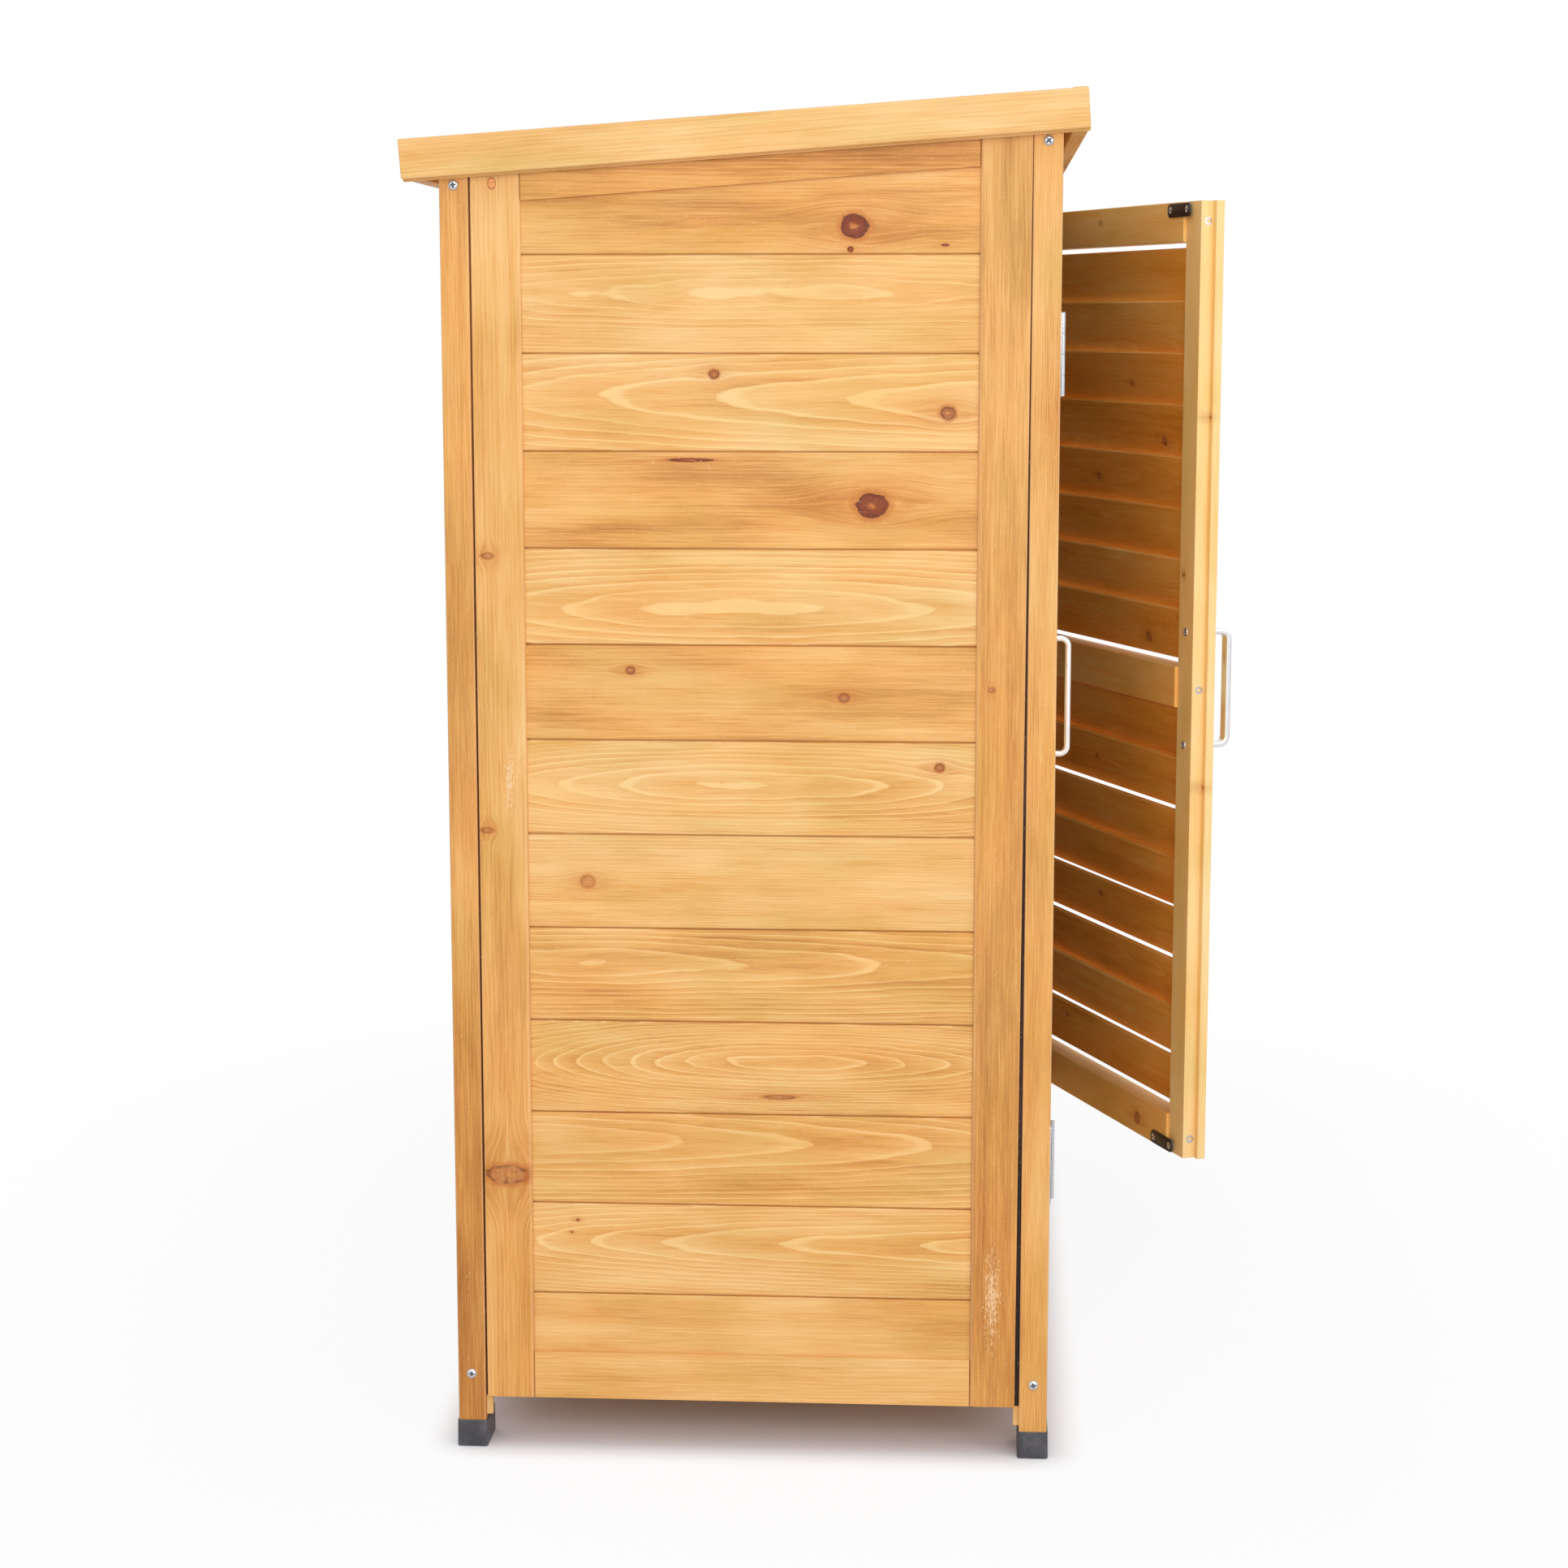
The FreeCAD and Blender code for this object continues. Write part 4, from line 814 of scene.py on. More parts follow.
# Back wall: the same planks, longer, in the grooves of the back posts and of two
# back rails. The four cross rails between the posts are plain planed fir.
low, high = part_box("back_planks")
parts = plank_wall((high.x, (low.y + high.y) / 2, 0), (-X, Z, Y), high.x - low.x, low.z, high.z,
                   (high.y - low.y) / 2)
piece("back_planking", parts, fir, "cabinet", ["back_planks"])
for name in ("back_top_rail", "back_bottom_rail", "front_top_rail", "front_bottom_rail"):
    low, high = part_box(name)
    facing = 1 if name.startswith("back") else -1
    tenon = rail_tenon if name.startswith("back") else 0.0
    deep = (high.y - low.y) / 2
    half = (high.z - low.z) / 2

    def planed(grid, fall=roof_fall if "top" in name else 0.0, facing=facing, deep=deep):
        """Planes a top rail's upper edge to the slope of the roof."""
        moved = grid.copy()
        moved[..., 1] -= np.where(grid[..., 1] > 0, (grid[..., 2] * facing + deep) * fall, 0)
        return moved

    board = timber((low.x + tenon, (low.y + high.y) / 2, (low.z + high.z) / 2),
                   (X, Z, facing * Y), high.x - low.x - 2 * tenon,
                   bar_section(half, deep, arris), shape=planed, heart=(0.04, -0.03, 0.02),
                   end_ease=0.2 * mm,
                   knots=[(210 * mm, 4 * mm, 4 * mm), (580 * mm, -6 * mm, 2.5 * mm)])
    piece(f"{name}_wood", [board], fir, "cabinet", [name])

# Inside: floor boards, two slatted shelves, the battens that carry them, the
# upright behind the back wall and the roof boards, all plain stained fir.
inner_shades = ("#EBC083", "#D9A055", "#A9682A")
inner_board_width = 80 * mm


def inner_board(name, turn):
    """The same stained fir read from Object coordinates, one tone for each board's width of
    depth; turn brings the boards' own length to the pattern's."""
    material, tree = painted(name)
    place = add(tree, "TexCoord", out="Object")
    place = add(tree, "Mapping", {"Vector": place, "Rotation": turn})
    here = add(tree, "SeparateXYZ", (place,), out=1)
    board = add(tree, "Math", (here, inner_board_width), operation="DIVIDE")
    board = add(tree, "Math", (board,), operation="FLOOR")
    absent = add(tree, "CombineXYZ", (9.0, 9.0, 0.0))
    heart = add(tree, "CombineXYZ", (0.03, -0.05, 0.02))
    growth = add(tree, "CombineXYZ", (0.08, 2.2 * mm, board))
    figure = add(tree, "CombineXYZ", (0.6, 0.8, 0.7))
    finish = add(tree, "CombineXYZ", (0.0, 0.5, 0.0))
    runs = add(tree, "CombineXYZ", (1.0, 1.0, 1.0))
    output(tree, fir_surface(tree, place, heart, growth, figure, finish, [absent], runs, absent,
                             inner_shades))
    return material


lying = inner_board("inner_fir", (0, 0, 0))
standing = inner_board("inner_upright_fir", (0, math.pi / 2, 0))
for name in ("floor_boards", "lower_shelf", "upper_shelf", "shelf_battens", "roof_boards",
             "roof_battens", "back_centre_batten"):
    boards = frame["nodes"][name].data
    boards.materials.clear()
    boards.materials.append(standing if name == "back_centre_batten" else lying)

# Roof covering: dark mineral felt, bitumen with fine stone granules, laid in two
# widths that lap near the middle, inside the fascias.
felt_grey = "#333536"
felt_granule = "#7C7E80"
granule_size = 1.4 * mm
granule_height = 0.4 * mm
weathered_per_metre = 14
lap_rise = 0.35 * mm
lap_place, lap_reach = 0.46, 0.04
ripple_height = 0.12 * mm
felt_sunk, felt_raised = 0.5 * mm, 0.05 * mm


def mineral_felt(name):
    """Bitumen felt with crushed stone pressed in: rough and speckled, hardly any gloss."""
    material, tree = painted(name)
    place = add(tree, "TexCoord", out="Object")
    granule = add(tree, "TexVoronoi", {"Vector": place, "Scale": 1 / granule_size}, out="Color")
    granule = add(tree, "SeparateXYZ", (granule,))
    cloud = add(tree, "TexNoise", {"Vector": place, "Scale": weathered_per_metre,
                                   "Detail": 4.0})
    mixed = add(tree, "Math", (granule, cloud), operation="MULTIPLY")
    tint = add(tree, "MixRGB", (mixed, linear(felt_grey), linear(felt_granule)))
    bump = add(tree, "Bump", {"Strength": 0.8, "Distance": granule_height, "Height": granule})
    rough = add(tree, "MapRange", (granule, 0.0, 1.0, 0.8, 0.95))
    output(tree, add(tree, "BsdfPrincipled", {"Base Color": tint, "Roughness": rough,
                                              "Normal": bump}))
    return material


low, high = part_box("roof_felt")
u, v = np.meshgrid(np.linspace(low.x, high.x, 61), np.linspace(0, 1, 81), indexing="ij")
fall = (high.y - low.y) * roof_fall
lapped = lap_rise * np.clip(1 - np.abs(v - lap_place) / lap_reach, 0, 1)
ripple = ripple_height * np.sin(u * 23 + 2) * np.sin(v * 31 + 1)
surface = high.z - v * fall - felt_sunk + lapped + ripple
upper = np.stack([low.y + v * (high.y - low.y), surface, u], axis=2)
lower = upper.copy()
lower[..., 1] = low.z + (1 - v) * fall + felt_raised
sheet = lofted(np.concatenate([lower, upper[:, ::-1]], axis=1), (Y, Z, X))
piece("roof_felt_sheet", [sheet], mineral_felt("mineral_felt"), "cabinet",
      ["roof_felt"])

# Fascias: fir boards round the edge of the roof. The two side ones run past the
# front and back ones, show their end grain there, and end below in a drip lip.
fascia_height = 27 * mm
fascia_thickness = 11 * mm
lip_drop = 1.5 * mm
lip_width = 3 * mm
lip_edge = 0.2 * mm
fascia_play = 0.1 * mm
slope = math.atan(roof_fall)
down_roof = np.array([0, math.cos(slope), -math.sin(slope)])
off_roof = np.array([0, math.sin(slope), math.cos(slope)])
for side, hand in sides.items():
    low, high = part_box(f"{side}_fascia")
    half = fascia_height / 2
    deep = fascia_thickness / 2
    corners = [(-half, -deep + lip_width), (-half - lip_drop, -deep + lip_width),
               (-half - lip_drop, -deep), (half, -deep), (half, deep), (-half, deep)]
    radii = [lip_edge, square_edge, square_edge, inner_edge, arris, arris]
    start = ((low.x + high.x) / 2, low.y + (half + lip_drop) * math.sin(slope),
             high.z - half * math.cos(slope))
    run = (high.y - half * math.sin(slope) - start[1]) / math.cos(slope) - fascia_play
    board = timber(start, (down_roof, off_roof, hand * X), run, rounded(corners, radii),
                   heart=(0.045, -0.012, 0.006), growth=(0.3, 2.6 * mm), tone=0.25)
    piece(f"{side}_fascia_wood", [board], fir, "cabinet", [f"{side}_fascia"])
for name in ("front_fascia", "back_fascia"):
    low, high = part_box(name)
    facing = -1 if name.startswith("front") else 1
    tall = (high.z - low.z - fascia_thickness * math.sin(slope)) / math.cos(slope)
    board = timber((low.x, (low.y + high.y) / 2, (low.z + high.z) / 2),
                   (X, off_roof, facing * down_roof), high.x - low.x,
                   bar_section(tall / 2, fascia_thickness / 2, arris),
                   heart=(0.04, -0.02, 0.005), tone=0.3, end_ease=0.2 * mm,
                   knots=[(300 * mm, 2 * mm, 3 * mm)])
    piece(f"{name}_wood", [board], fir, "cabinet", [name])

# Doors: stiles and rails of fir, and sixteen louvre slats that lean in their
# housings. The slats sit a little loose, so some gaps are wider than others.
# The right door's lip laps over a rebate in the left one.
pivots = {joint["child"].split("_")[0]: Vector(joint["pos_m"]) for joint in frame["joints"]}
ajar = math.radians(22)
hinge_gap = 0.75 * mm
axis_ahead = 2.3 * mm
lip_thick = 7.4 * mm
rebate_depth = 8.0 * mm
lip = 6.5 * mm
meeting_gap = 1.5 * mm
door_stile_thick = 18 * mm
rail_front = 1.0 * mm
rail_thick = 19.5 * mm
door_ease = 0.9 * mm
meeting_ease = 0.7 * mm
slat_width = 45 * mm
slat_thick = 4.5 * mm
slat_tilt = math.radians(13.5)
slat_count = 8
slat_play = 6.9 * mm
slat_into_stile = 4 * mm
slat_ease = 1.0 * mm
loose_upper = np.array([0, 0, 0, 0, -0.3, -0.2, 0.3, 1.4]) * mm
loose_lower = np.array([1.25, 2.55, 0.15, 2.25, 1.45, -0.25, 2.35, 1.65]) * mm
lower_widening = 0.9 * mm
# Painted light: the doors' fir is paler than the sides' fir, the slats' paler and more orange,
# and the meeting stiles' paler still, standing in for light on the doors' inner faces
slat_fir_painted_light = stained_fir("slat_fir_painted_light", ("#FFD17C", "#F7B24C", "#CE842A"))
door_fir_painted_light = stained_fir("door_fir_painted_light", ("#FFD88C", "#FDBD5E", "#D6892F"))
meeting_fir_painted_light = stained_fir("meeting_fir_painted_light", ("#FFECB4", "#FFD892", "#DDA257"))
door_knots = {"bottom": (258 * mm, -2 * mm, 4.5 * mm), "middle": (90 * mm, 3 * mm, 2.5 * mm),
              "top": (150 * mm, 4 * mm, 1.4 * mm)}
# The doors' top rails are painted paler, tone -0.5, as painted light on their inner faces; the
# other rails keep the plain tone
rail_tone_and_painted_light = {"top": -0.5, "middle": 0.0, "bottom": 0.0}
meeting_knots = [(632 * mm, 382.5 * mm, 1.8 * mm), (322 * mm, 383 * mm, 2.0 * mm),
                 (500 * mm, 360 * mm, 2.4 * mm)]
knotty_slats = 0.3

hinge_stile_end = hinge_gap + stile_width
outer_end = pivots["right"].x - meeting_gap / 2
inner_end = {"right": outer_end - lip}
inner_end["left"] = 2 * pivots["right"].x - meeting_gap - inner_end["right"]
meeting_start = {"right": outer_end - stile_width, "left": inner_end["left"] - stile_width}
door_axes = {"left": (X, -Y),
             "right": (np.array([-math.cos(ajar), -math.sin(ajar), 0]),
                       np.array([math.sin(ajar), -math.cos(ajar), 0]))}


def on_door(side, from_axis, depth, height):
    """A point of a door: its distance from the hinge axis, depth behind the face and height."""
    free, out = door_axes[side]
    pivot = np.array([pivots[side].x, pivots[side].y, 0])
    return pivot + free * from_axis - out * (axis_ahead + depth) + Z * height


for side in sides:
    free, out = door_axes[side]
    body = f"{side}_door"
    low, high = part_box(f"{side}_door_hinge_stile")
    bottom, top = low.z, high.z
    half = stile_width / 2
    deep = door_stile_thick / 2
    board = timber(on_door(side, hinge_gap + half, deep, bottom), (Z, free, out), top - bottom,
                   bar_section(half, deep, door_ease), heart=(0.03, -0.03, 0.01), tone=0.5)
    piece(f"{side}_door_hinge_stile_wood", [board], door_fir_painted_light, body,
          [f"{side}_door_hinge_stile"])

    start = meeting_start[side]
    step = lip_thick if side == "right" else rebate_depth
    corners = [(start, 0), (outer_end, 0), (outer_end, -step), (inner_end[side], -step),
               (inner_end[side], -door_stile_thick), (start, -door_stile_thick)]
    radii = [door_ease, meeting_ease, meeting_ease, square_edge, meeting_ease, door_ease]
    board = timber(on_door(side, 0, 0, bottom), (Z, free, out), top - bottom,
                   rounded(corners, radii), heart=(0.42, -0.04, 0.01), growth=(0.4, 1.9 * mm),
                   tone=0.1, figure=(0.15, 1.0, 0.6), knots=meeting_knots,
                   runs=(0.7, 0.8, 0.6), end_ease=0.25 * mm)
    piece(f"{side}_door_meeting_stile_wood", [board], meeting_fir_painted_light, body,
          [f"{side}_door_meeting_stile"])

    opening = start - hinge_stile_end
    rails = {name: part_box(f"{side}_door_{name}_rail") for name in ("top", "middle", "bottom")}
    for rail_name, (low, high) in rails.items():
        half = (high.z - low.z) / 2
        place = on_door(side, hinge_stile_end, rail_front + rail_thick / 2,
                        (low.z + high.z) / 2)
        board = timber(place, (free, Z, out), opening,
                       bar_section(half, rail_thick / 2, door_ease), heart=(0.04, -0.03, 0.03),
                       tone=rail_tone_and_painted_light[rail_name], knots=[door_knots[rail_name]],
                       end_ease=0.5 * mm)
        piece(f"{side}_door_{rail_name}_rail_wood", [board], door_fir_painted_light, body,
              [f"{side}_door_{rail_name}_rail"])

    rise = slat_width / 2 * math.cos(slat_tilt) + slat_thick / 2 * math.sin(slat_tilt)
    low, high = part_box(f"{side}_door_slats")
    pitch = (rails["top"][0].z - rails["middle"][1].z - slat_play - 2 * rise) / (slat_count - 1)
    steps = np.arange(slat_count)
    tops = np.concatenate([high.z - steps * pitch + loose_upper,
                           low.z + 2 * rise + steps[::-1] * pitch + loose_lower])
    leaning_up = -out * math.sin(slat_tilt) + Z * math.cos(slat_tilt)
    leaning_out = out * math.cos(slat_tilt) + Z * math.sin(slat_tilt)
    parts = []
    for i, slat_top in enumerate(tops):
        wide = slat_width / 2 + (lower_widening / 2 if i >= slat_count else 0)
        knots = []
        if chooser.uniform() < knotty_slats:
            knots = [(chooser.uniform(0.05, 0.28), chooser.uniform(-0.015, 0.015),
                      chooser.uniform(1.5, 4) * mm)]
        place = on_door(side, hinge_stile_end - slat_into_stile, deep, slat_top - rise)
        parts.append(timber(place, (free, leaning_up, leaning_out),
                            opening + 2 * slat_into_stile,
                            bar_section(wide, slat_thick / 2, slat_ease),
                            knots=knots, end_ease=0.2 * mm))
    piece(f"{side}_door_slat_set", parts, slat_fir_painted_light, body, [f"{side}_door_slats"])

# Screws: turned steel, zinc plated, all with a cross recess. Round-headed ones go
# through the posts' sides into the rails and, with lower heads, through the doors
# into the handles. Countersunk ones hold the doors' corners through their edges.
zinc = "#D3D6DA"
zinc_shadow = "#BEC2C6"
recess_painted_shade = "#5C626B"
cloudy_per_metre = 90
coat_height = 0.03 * mm
recess_depth = 1.1 * mm
recess_arm = (0.15, 0.6)
sunk_rise = 0.15 * mm
frame_screw = dict(head=3.75 * mm, height=2.1 * mm, shank=2.0 * mm, length=64 * mm)
edge_screw = dict(head=3.3 * mm, height=2.0 * mm, shank=1.9 * mm, length=58 * mm, sunk=True)
handle_screw = dict(head=3.6 * mm, height=1.4 * mm, shank=1.6 * mm, length=24 * mm)
edge_screw_depth = 11.6 * mm
screw_depth = {"front": 10 * mm, "back": 416 * mm}
screw_heights = (55 * mm, 20.8 * mm)
handle_pitch = 96 * mm
handle_axis = {"right": outer_end - 20.5 * mm, "left": outer_end - 14 * mm}


def plated_steel(name, colour, shadow, roughness, metallic, fleck):
    """Steel with a thin coat: a soft broken shine over fine rolling marks and cloudy tone,
    dull in a screw's recess and painted dark grey there as painted shade."""
    material, tree = painted(name)
    place = add(tree, "TexCoord", out="Object")
    fine = add(tree, "TexNoise", {"Vector": place, "Scale": 1 / fleck, "Detail": 4.0})
    wide = add(tree, "TexNoise", {"Vector": place, "Scale": cloudy_per_metre, "Detail": 3.0})
    cloudy = add(tree, "MapRange", (wide, 0.4, 0.7, 0.0, 0.7))
    tint = add(tree, "MixRGB", (cloudy, linear(colour), linear(shadow)))
    # Where pit is 1, in a screw's cross recess, the colour goes to dark grey: painted shade
    pit = add(tree, "Attribute", out="Fac", attribute_name="pit")
    tint = add(tree, "MixRGB", (pit, tint, linear(recess_painted_shade)))
    shine = add(tree, "MapRange", (pit, 0.0, 1.0, metallic, 0.0))
    rough = add(tree, "MapRange", (fine, 0.3, 0.7, roughness * 0.8, roughness * 1.25))
    bump = add(tree, "Bump", {"Strength": 0.25, "Distance": coat_height, "Height": fine})
    output(tree, add(tree, "BsdfPrincipled", {"Base Color": tint, "Roughness": rough,
                                              "Normal": bump, "Metallic": shine}))
    return material


def screw(centre, outward, head, height, shank, length, sunk=False, points=48):
    """A screw as rings from the tip of its shank to the middle of its head.

    At a share r of the way to the rim, a round head stands height times (1 - r^4)^0.6 high; a
    sunk one is flat above a cone. Where min(|x|, |y|) and max(|x|, |y|) are both inside the
    recess's arm, the surface goes down, the more the nearer to the middle. The value pit is
    1 there and 0 on the rest.
    """
    outward = np.asarray(outward, float)
    beside = np.cross(outward, Z)
    over = np.cross(outward, beside)
    turned = chooser.uniform(0, np.pi / 2)
    t = np.arange(points) * 2 * np.pi / points
    r = np.sin(np.linspace(np.pi / 2, 0.04, 13))[:, None]
    x, y = np.abs(r * np.cos(t + turned)), np.abs(r * np.sin(t + turned))
    arm = np.maximum(np.minimum(x, y) / recess_arm[0], np.maximum(x, y) / recess_arm[1])
    sunk_in = np.clip((1 - arm) * 4, 0, 1)
    down = recess_depth * sunk_in * (1.15 - r)
    top = sunk_rise if sunk else height * (1 - r ** 4) ** 0.6
    circle = np.stack([np.cos(t), np.sin(t)], axis=1)
    rows = [level(circle * shank, -length), level(circle * shank, -height if sunk else 0.0)]
    rows = np.concatenate([np.stack(rows), np.concatenate([
        r[..., None] * circle * head, (top - down)[..., None]], axis=2)])
    verts, faces, _ = lofted(rows, (beside, over, outward), centre)
    pit = np.concatenate([np.zeros((2, points)), sunk_in]).reshape(-1, 1)
    return verts, faces, {"pit": np.repeat(pit, 3, axis=1)}


zinc_steel = plated_steel("zinc_plated_steel", zinc, zinc_shadow, 0.26, 0.8, 1.2 * mm)
front_low, front_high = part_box("left_front_post")
parts = []
for side, hand in sides.items():
    for end, depth in screw_depth.items():
        low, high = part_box(f"{side}_{end}_post")
        x = high.x if hand > 0 else low.x
        under_roof = front_high.z - depth * roof_fall
        for z in (screw_heights[0], under_roof - screw_heights[1]):
            parts.append(screw((x, front_low.y + depth, z), hand * X, **frame_screw))
piece("frame_screw_set", parts, zinc_steel, "cabinet", ["frame_screws"],
      smooth=True)
for side in sides:
    free, out = door_axes[side]
    parts = []
    for name in ("top", "middle", "bottom"):
        low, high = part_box(f"{side}_door_{name}_rail")
        z = (low.z + high.z) / 2
        for edge, way in ((hinge_gap, -free), (inner_end[side], free)):
            place = on_door(side, edge, edge_screw_depth, z)
            parts.append(screw(place, way, **edge_screw))
        if name == "middle":
            for height in (z - handle_pitch / 2, z + handle_pitch / 2):
                place = on_door(side, handle_axis[side], door_stile_thick, height)
                parts.append(screw(place, -out, **handle_screw))
    piece(f"{side}_door_screw_set", parts, zinc_steel, f"{side}_door",
          [f"{side}_door_screws"], smooth=True)

# Handles: a flat steel bar bent to a D, powder coated silver white, with its edges
# rounded, screwed on from behind the meeting stile.
coat_silver = "#F6F6F5"
coat_shadow = "#EDEEEF"
strap = (10 * mm, 5 * mm)
strap_edge = 1.4 * mm
handle_out = 23 * mm
bend_radius = 6.5 * mm


def bent_bar(side, middle_z):
    """The bar's section carried along its middle line: out of the door, round a quarter
    circle, along, round another and back in. Each ring lies square to the line."""
    free, out = door_axes[side]
    reach = handle_out - strap[1] / 2
    half = handle_pitch / 2
    a = np.linspace(0, np.pi / 2, 9)
    bend = np.stack([reach - bend_radius * (1 - np.sin(a)),
                     half - bend_radius * (1 - np.cos(a))], axis=1)
    line = np.concatenate([[[0, half]], bend])
    way = np.concatenate([[[1, 0]], np.stack([np.cos(a), -np.sin(a)], 1)])
    line = np.concatenate([line, line[::-1] * [1, -1]])
    way = np.concatenate([way, way[::-1] * [-1, 1]])
    outline = bar_section(strap[0] / 2, strap[1] / 2, strap_edge, 4)[0]
    square = np.stack([-way[:, 1], way[:, 0]], axis=1)
    place = line[:, None, :] + outline[None, :, 1:2] * square[:, None, :]
    beside = np.broadcast_to(outline[None, :, :1], place.shape[:2] + (1,))
    rows = np.concatenate([beside, place[..., 1:], place[..., :1]], axis=2)
    return lofted(rows, (free, Z, out), on_door(side, handle_axis[side], 0, middle_z))


silver_coat = plated_steel("silver_powder_coat", coat_silver, coat_shadow, 0.3, 0.92, 0.6 * mm)
for side in sides:
    low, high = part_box(f"{side}_door_middle_rail")
    piece(f"{side}_door_handle_bar", [bent_bar(side, (low.z + high.z) / 2)], silver_coat,
          f"{side}_door", [f"{side}_door_handle"], smooth=True)

# Strike plates: black coated steel with round corners, one at each end of the
# meeting stile on its back, each held by two bright screws with flat heads, which
# clear the magnetic catches.
plate_black = "#2B2626"
plate_shadow = "#3D3838"
plate_size = (42 * mm, 11.5 * mm)
plate_corner = 4.6 * mm
plate_thick = 1.6 * mm
plate_edge = 0.5 * mm
plate_pitch = 31 * mm
plate_offset = -7 * mm
plate_screw = dict(head=3.1 * mm, height=0.27 * mm, shank=1.4 * mm, length=12 * mm)


def slab(outline, thickness, ease, axes, place):
    """A flat plate on a place: the outline carried by its thickness, its far edge eased."""
    rows = [level(outline, 0.0), level(outline, thickness - ease),
            level(inset(outline, 0.3 * ease), thickness - 0.3 * ease),
            level(inset(outline, ease), thickness)]
    return lofted(np.stack(rows), axes, place)


black_steel = plated_steel("black_coated_steel", plate_black, plate_shadow, 0.3, 0.0, 0.8 * mm)
for side in sides:
    free, out = door_axes[side]
    body = f"{side}_door"
    middle = meeting_start[side] + plate_offset
    low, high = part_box(f"{side}_door_strike_plates")
    back = rail_front + rail_thick
    half = plate_size[1] / 2
    outline = bar_section(plate_size[0] / 2, half, plate_corner, 6)[0]
    plates, screws = [], []
    for z in (low.z + half, high.z - half):
        plates.append(slab(outline, plate_thick, plate_edge, (free, Z, -out),
                           on_door(side, middle, back, z)))
        for step in (-plate_pitch / 2, plate_pitch / 2):
            place = on_door(side, middle + step, back + plate_thick, z)
            screws.append(screw(place, -out, **plate_screw))
    piece(f"{side}_door_strike_plate_pair", plates, black_steel, body,
          [f"{side}_door_strike_plates"], smooth=True)
    piece(f"{side}_door_strike_plate_screws", screws, zinc_steel, body,
          smooth=True)

# Butt hinges: zinc plated leaves rolled round a pin, four knuckles to a hinge, two
# to each leaf, and two countersunk screws in each leaf.
hinge_height = 58 * mm
hinge_middles = (211.8 * mm, 787.05 * mm)
knuckle_pitch = hinge_height / 4
knuckle_gap = 0.4 * mm
barrel_radius = 1.5 * mm
leaf = (2.6 * mm, 17.0 * mm)
leaf_thick = 1.2 * mm
leaf_edge = 0.35 * mm
leaf_corner = 2 * mm
leaf_near_corner = 0.4 * mm
leaf_behind = 0.2 * mm
leaf_root = 0.6 * mm
knuckle_ease = 0.25 * mm
leaf_screw_place = (10 * mm, 16 * mm)
leaf_screw = dict(head=3.2 * mm, height=1.4 * mm, shank=1.4 * mm, length=14 * mm, sunk=True)


def hinge_leaf(pivot, away, out, middle, first):
    """A leaf with its rolled knuckles, and its screws. A knuckle's section is the leaf's end
    running into a circle round the axis: barrel_radius times (cos a, sin a)."""
    face = pivot - out * axis_ahead
    half = hinge_height / 2
    outline = rounded(rectangle((leaf[0], -half), (leaf[1], half)),
                      [leaf_near_corner, leaf_corner, leaf_corner, leaf_near_corner], 4)[0]
    parts = [slab(outline, leaf_thick, leaf_edge, (away, Z, out), face + Z * middle)]
    start = math.asin((axis_ahead - leaf_thick) / barrel_radius)
    a = np.linspace(-start, 1.5 * np.pi, 26)
    roll = np.stack([np.cos(a), np.sin(a)], axis=1) * barrel_radius + [0, axis_ahead]
    root = leaf[0] + leaf_root
    section = np.concatenate([[[root, leaf_behind], [root, leaf_thick]], roll])
    eased = inset(section, knuckle_ease)
    for i in range(first, 4, 2):
        top = middle + half - i * knuckle_pitch - knuckle_gap / 2
        low = top - knuckle_pitch + knuckle_gap
        rows = [level(eased, low), level(section, low + knuckle_ease),
                level(section, top - knuckle_ease), level(eased, top)]
        parts.append(lofted(np.stack(rows), (away, out, Z), face))
    heads = []
    for step in (-leaf_screw_place[1], leaf_screw_place[1]):
        place = face + away * leaf_screw_place[0] + out * leaf_thick + Z * (middle + step)
        heads.append(screw(place, out, **leaf_screw))
    return parts, heads


post_leaves, post_heads, pins = [], [], []
turn = np.arange(24) * 2 * np.pi / 24
circle = np.stack([np.cos(turn), np.sin(turn)], axis=1)
pin_rings = ((1.0, -0.5), (1.3, -0.497), (1.3, 0.497), (1.0, 0.5))
for side, hand in sides.items():
    free, out = door_axes[side]
    pivot = np.array([pivots[side].x, pivots[side].y, 0])
    door_leaves, door_heads = [], []
    for middle in hinge_middles:
        parts, heads = hinge_leaf(pivot, free, out, middle, 1)
        door_leaves += parts
        door_heads += heads
        parts, heads = hinge_leaf(pivot, hand * X, -Y, middle, 0)
        post_leaves += parts
        post_heads += heads
        rows = [level(circle * radius * mm, share * hinge_height)
                for radius, share in pin_rings]
        pins.append(lofted(np.stack(rows), place=pivot + Z * middle))
    body = f"{side}_door"
    piece(f"{side}_door_hinge_leaf_set", door_leaves, zinc_steel, body,
          [f"{side}_door_hinge_leaves"], smooth=True)
    piece(f"{side}_door_hinge_leaf_screws", door_heads, zinc_steel, body,
          smooth=True)
piece("hinge_post_leaf_set", post_leaves, zinc_steel, "cabinet",
      ["hinge_post_leaves"], smooth=True)
piece("hinge_post_leaf_screws", post_heads, zinc_steel, "cabinet", smooth=True)
piece("hinge_pin_set", pins, zinc_steel, "cabinet", ["hinge_pins"], smooth=True)

# Magnetic catches: moulded brown ABS housings screwed behind the front rails, where
# the doors' strike plates meet them.
catch_brown = "#5A4632"
catch_dust = "#7A6650"
catches = frame["nodes"]["magnetic_catches"].data
catches.materials.clear()
catches.materials.append(moulded_plastic("moulded_brown_abs", catch_brown, catch_dust,
                                         spark_size))

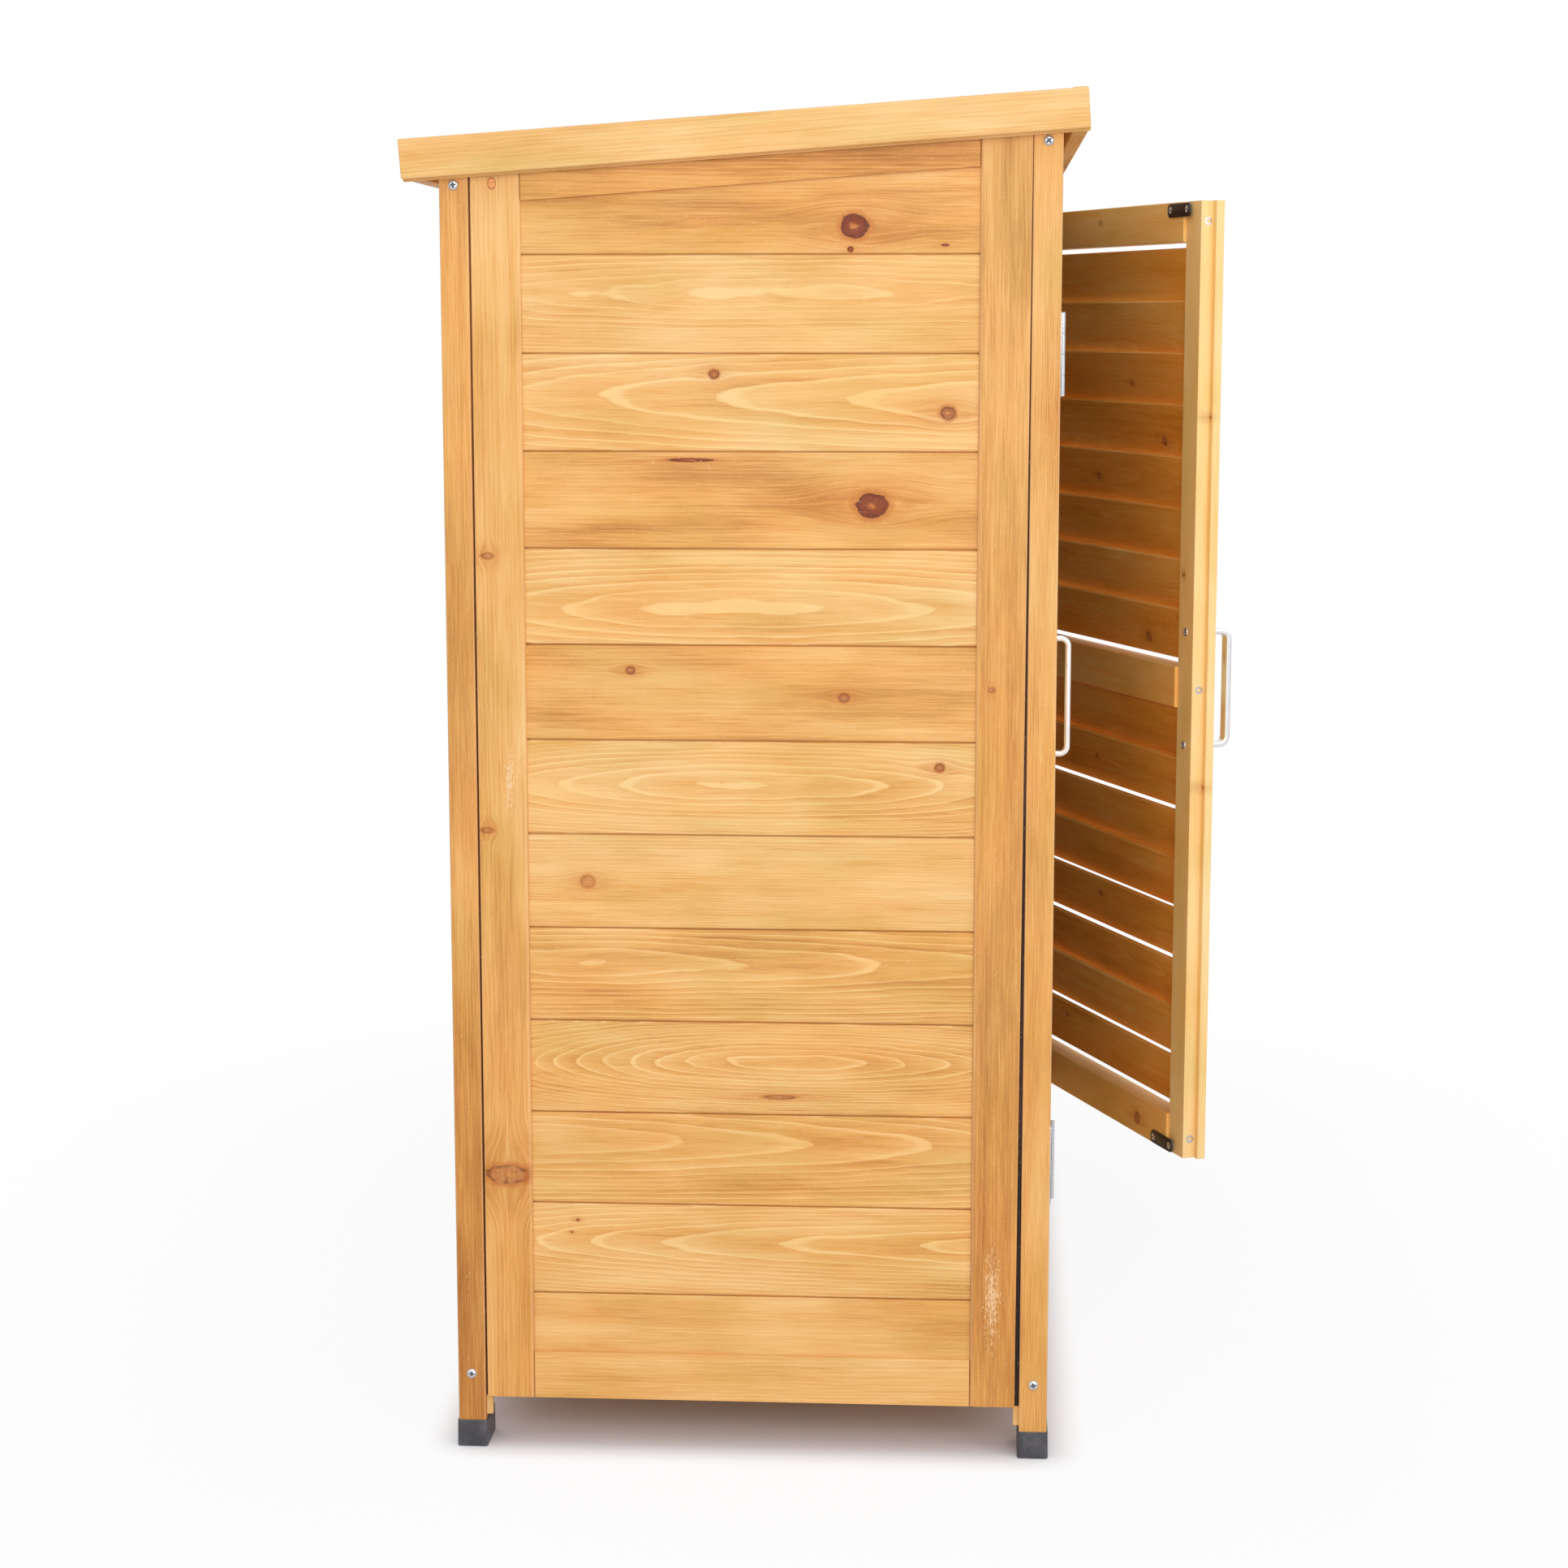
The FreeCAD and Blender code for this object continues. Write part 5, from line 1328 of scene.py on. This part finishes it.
# Studio: a pale floor, white to the camera away from the cabinet and keeping its
# soft shadow near it, a white surround, and four large soft lamps.
floor_reach = 14.0
floor_shade = (0.88, 0.86, 0.89, 1)
footprint_middle = (0, 0.067, 0)
footprint_half = (0.41, 0.2, 1)
white_near = (0.0, 0.045, 0.9)
white_far = (0.045, 0.8)
world_light = 0.55
floor_mesh = bpy.data.meshes.new("studio_floor")
floor_mesh.from_pydata([(x, y, 0) for x, y in rectangle((-floor_reach, -floor_reach),
                                                        (floor_reach, floor_reach))],
                       [], [(0, 1, 2, 3)])
studio_floor = bpy.data.objects.new("studio_floor", floor_mesh)
bpy.context.scene.collection.objects.link(studio_floor)
paper, tree = painted("white_paper")
matt = add(tree, "BsdfDiffuse", {"Color": floor_shade})
white = add(tree, "Emission", {"Color": (1, 1, 1, 1), "Strength": 1.0})
place = add(tree, "TexCoord", out="Object")
place = add(tree, "VectorMath", (place, footprint_middle), operation="SUBTRACT")
place = add(tree, "VectorMath", (place,), operation="ABSOLUTE")
place = add(tree, "VectorMath", (place, footprint_half), operation="SUBTRACT")
place = add(tree, "VectorMath", (place, (0, 0, 0)), operation="MAXIMUM")
distance = add(tree, "VectorMath", (place,), out="Value", operation="LENGTH")
near = add(tree, "MapRange", (distance, *white_near[:2], 0.0, white_near[2]), **smooth)
far = add(tree, "MapRange", (distance, *white_far, 0.0, 1 - white_near[2]), **smooth)
away = add(tree, "Math", (near, far), operation="ADD")
seen = add(tree, "LightPath", out="Is Camera Ray")
away = add(tree, "Math", (away, seen), operation="MULTIPLY")
output(tree, add(tree, "MixShader", (away, matt, white)))
floor_mesh.materials.append(paper)

world = bpy.data.worlds.new("studio")
bpy.context.scene.world = world
world.use_nodes = True
tree = world.node_tree
tree.nodes.clear()
seen = add(tree, "LightPath", out="Is Camera Ray")
glossy = add(tree, "LightPath", out="Is Glossy Ray")
through = add(tree, "LightPath", out="Is Transmission Ray")
seen = add(tree, "Math", (seen, glossy), operation="MAXIMUM")
seen = add(tree, "Math", (seen, through), operation="MAXIMUM")
strength = add(tree, "MapRange", (seen, 0.0, 1.0, world_light, 1.0))
background = add(tree, "Background", {"Color": (1, 1, 1, 1), "Strength": strength})
end = tree.nodes.new("ShaderNodeOutputWorld")
tree.links.new(background, end.inputs["Surface"])


def soft_lamp(name, place, target, size, watts):
    """A square soft box aimed at a point."""
    lamp = bpy.data.lights.new(name, "AREA")
    lamp.shape = "SQUARE"
    lamp.size = size
    lamp.energy = watts
    item = bpy.data.objects.new(name, lamp)
    item.location = place
    item.rotation_euler = (Vector(target) - Vector(place)).to_track_quat("-Z", "Y").to_euler()
    bpy.context.scene.collection.objects.link(item)


soft_lamp("camera_side_lamp", (-3.6, -0.25, 1.6), (0, 0, 0.5), 1.8, 40)
soft_lamp("high_lamp", (-1.8, -0.3, 3.4), (-0.3, 0, 0.2), 2.6, 21)
soft_lamp("front_lamp", (-2.6, -2.6, 1.8), (0, 0, 0.5), 1.8, 16)
soft_lamp("rear_lamp", (2.8, 2.2, 2.2), (0, 0, 0.5), 2.2, 20)

# Camera: a long lens, a little above the middle of the near side, square to it
# but for a few degrees.
camera_place = (-2.52646, -0.08724, 0.80659)
camera_yaw, camera_pitch = 0.06203, 0.14938
focal_pixels, frame_pixels = 3750.6, 1932
view = bpy.data.cameras.new("photo_camera")
camera = bpy.data.objects.new("photo_camera", view)
bpy.context.scene.collection.objects.link(camera)
camera.location = camera_place
look = Vector((math.cos(camera_yaw) * math.cos(camera_pitch),
               math.sin(camera_yaw) * math.cos(camera_pitch), -math.sin(camera_pitch)))
camera.rotation_euler = look.to_track_quat("-Z", "Y").to_euler()
view.sensor_width = 36.0
view.lens = focal_pixels / frame_pixels * view.sensor_width
bpy.context.scene.camera = camera
bpy.context.scene.view_settings.view_transform = "Standard"
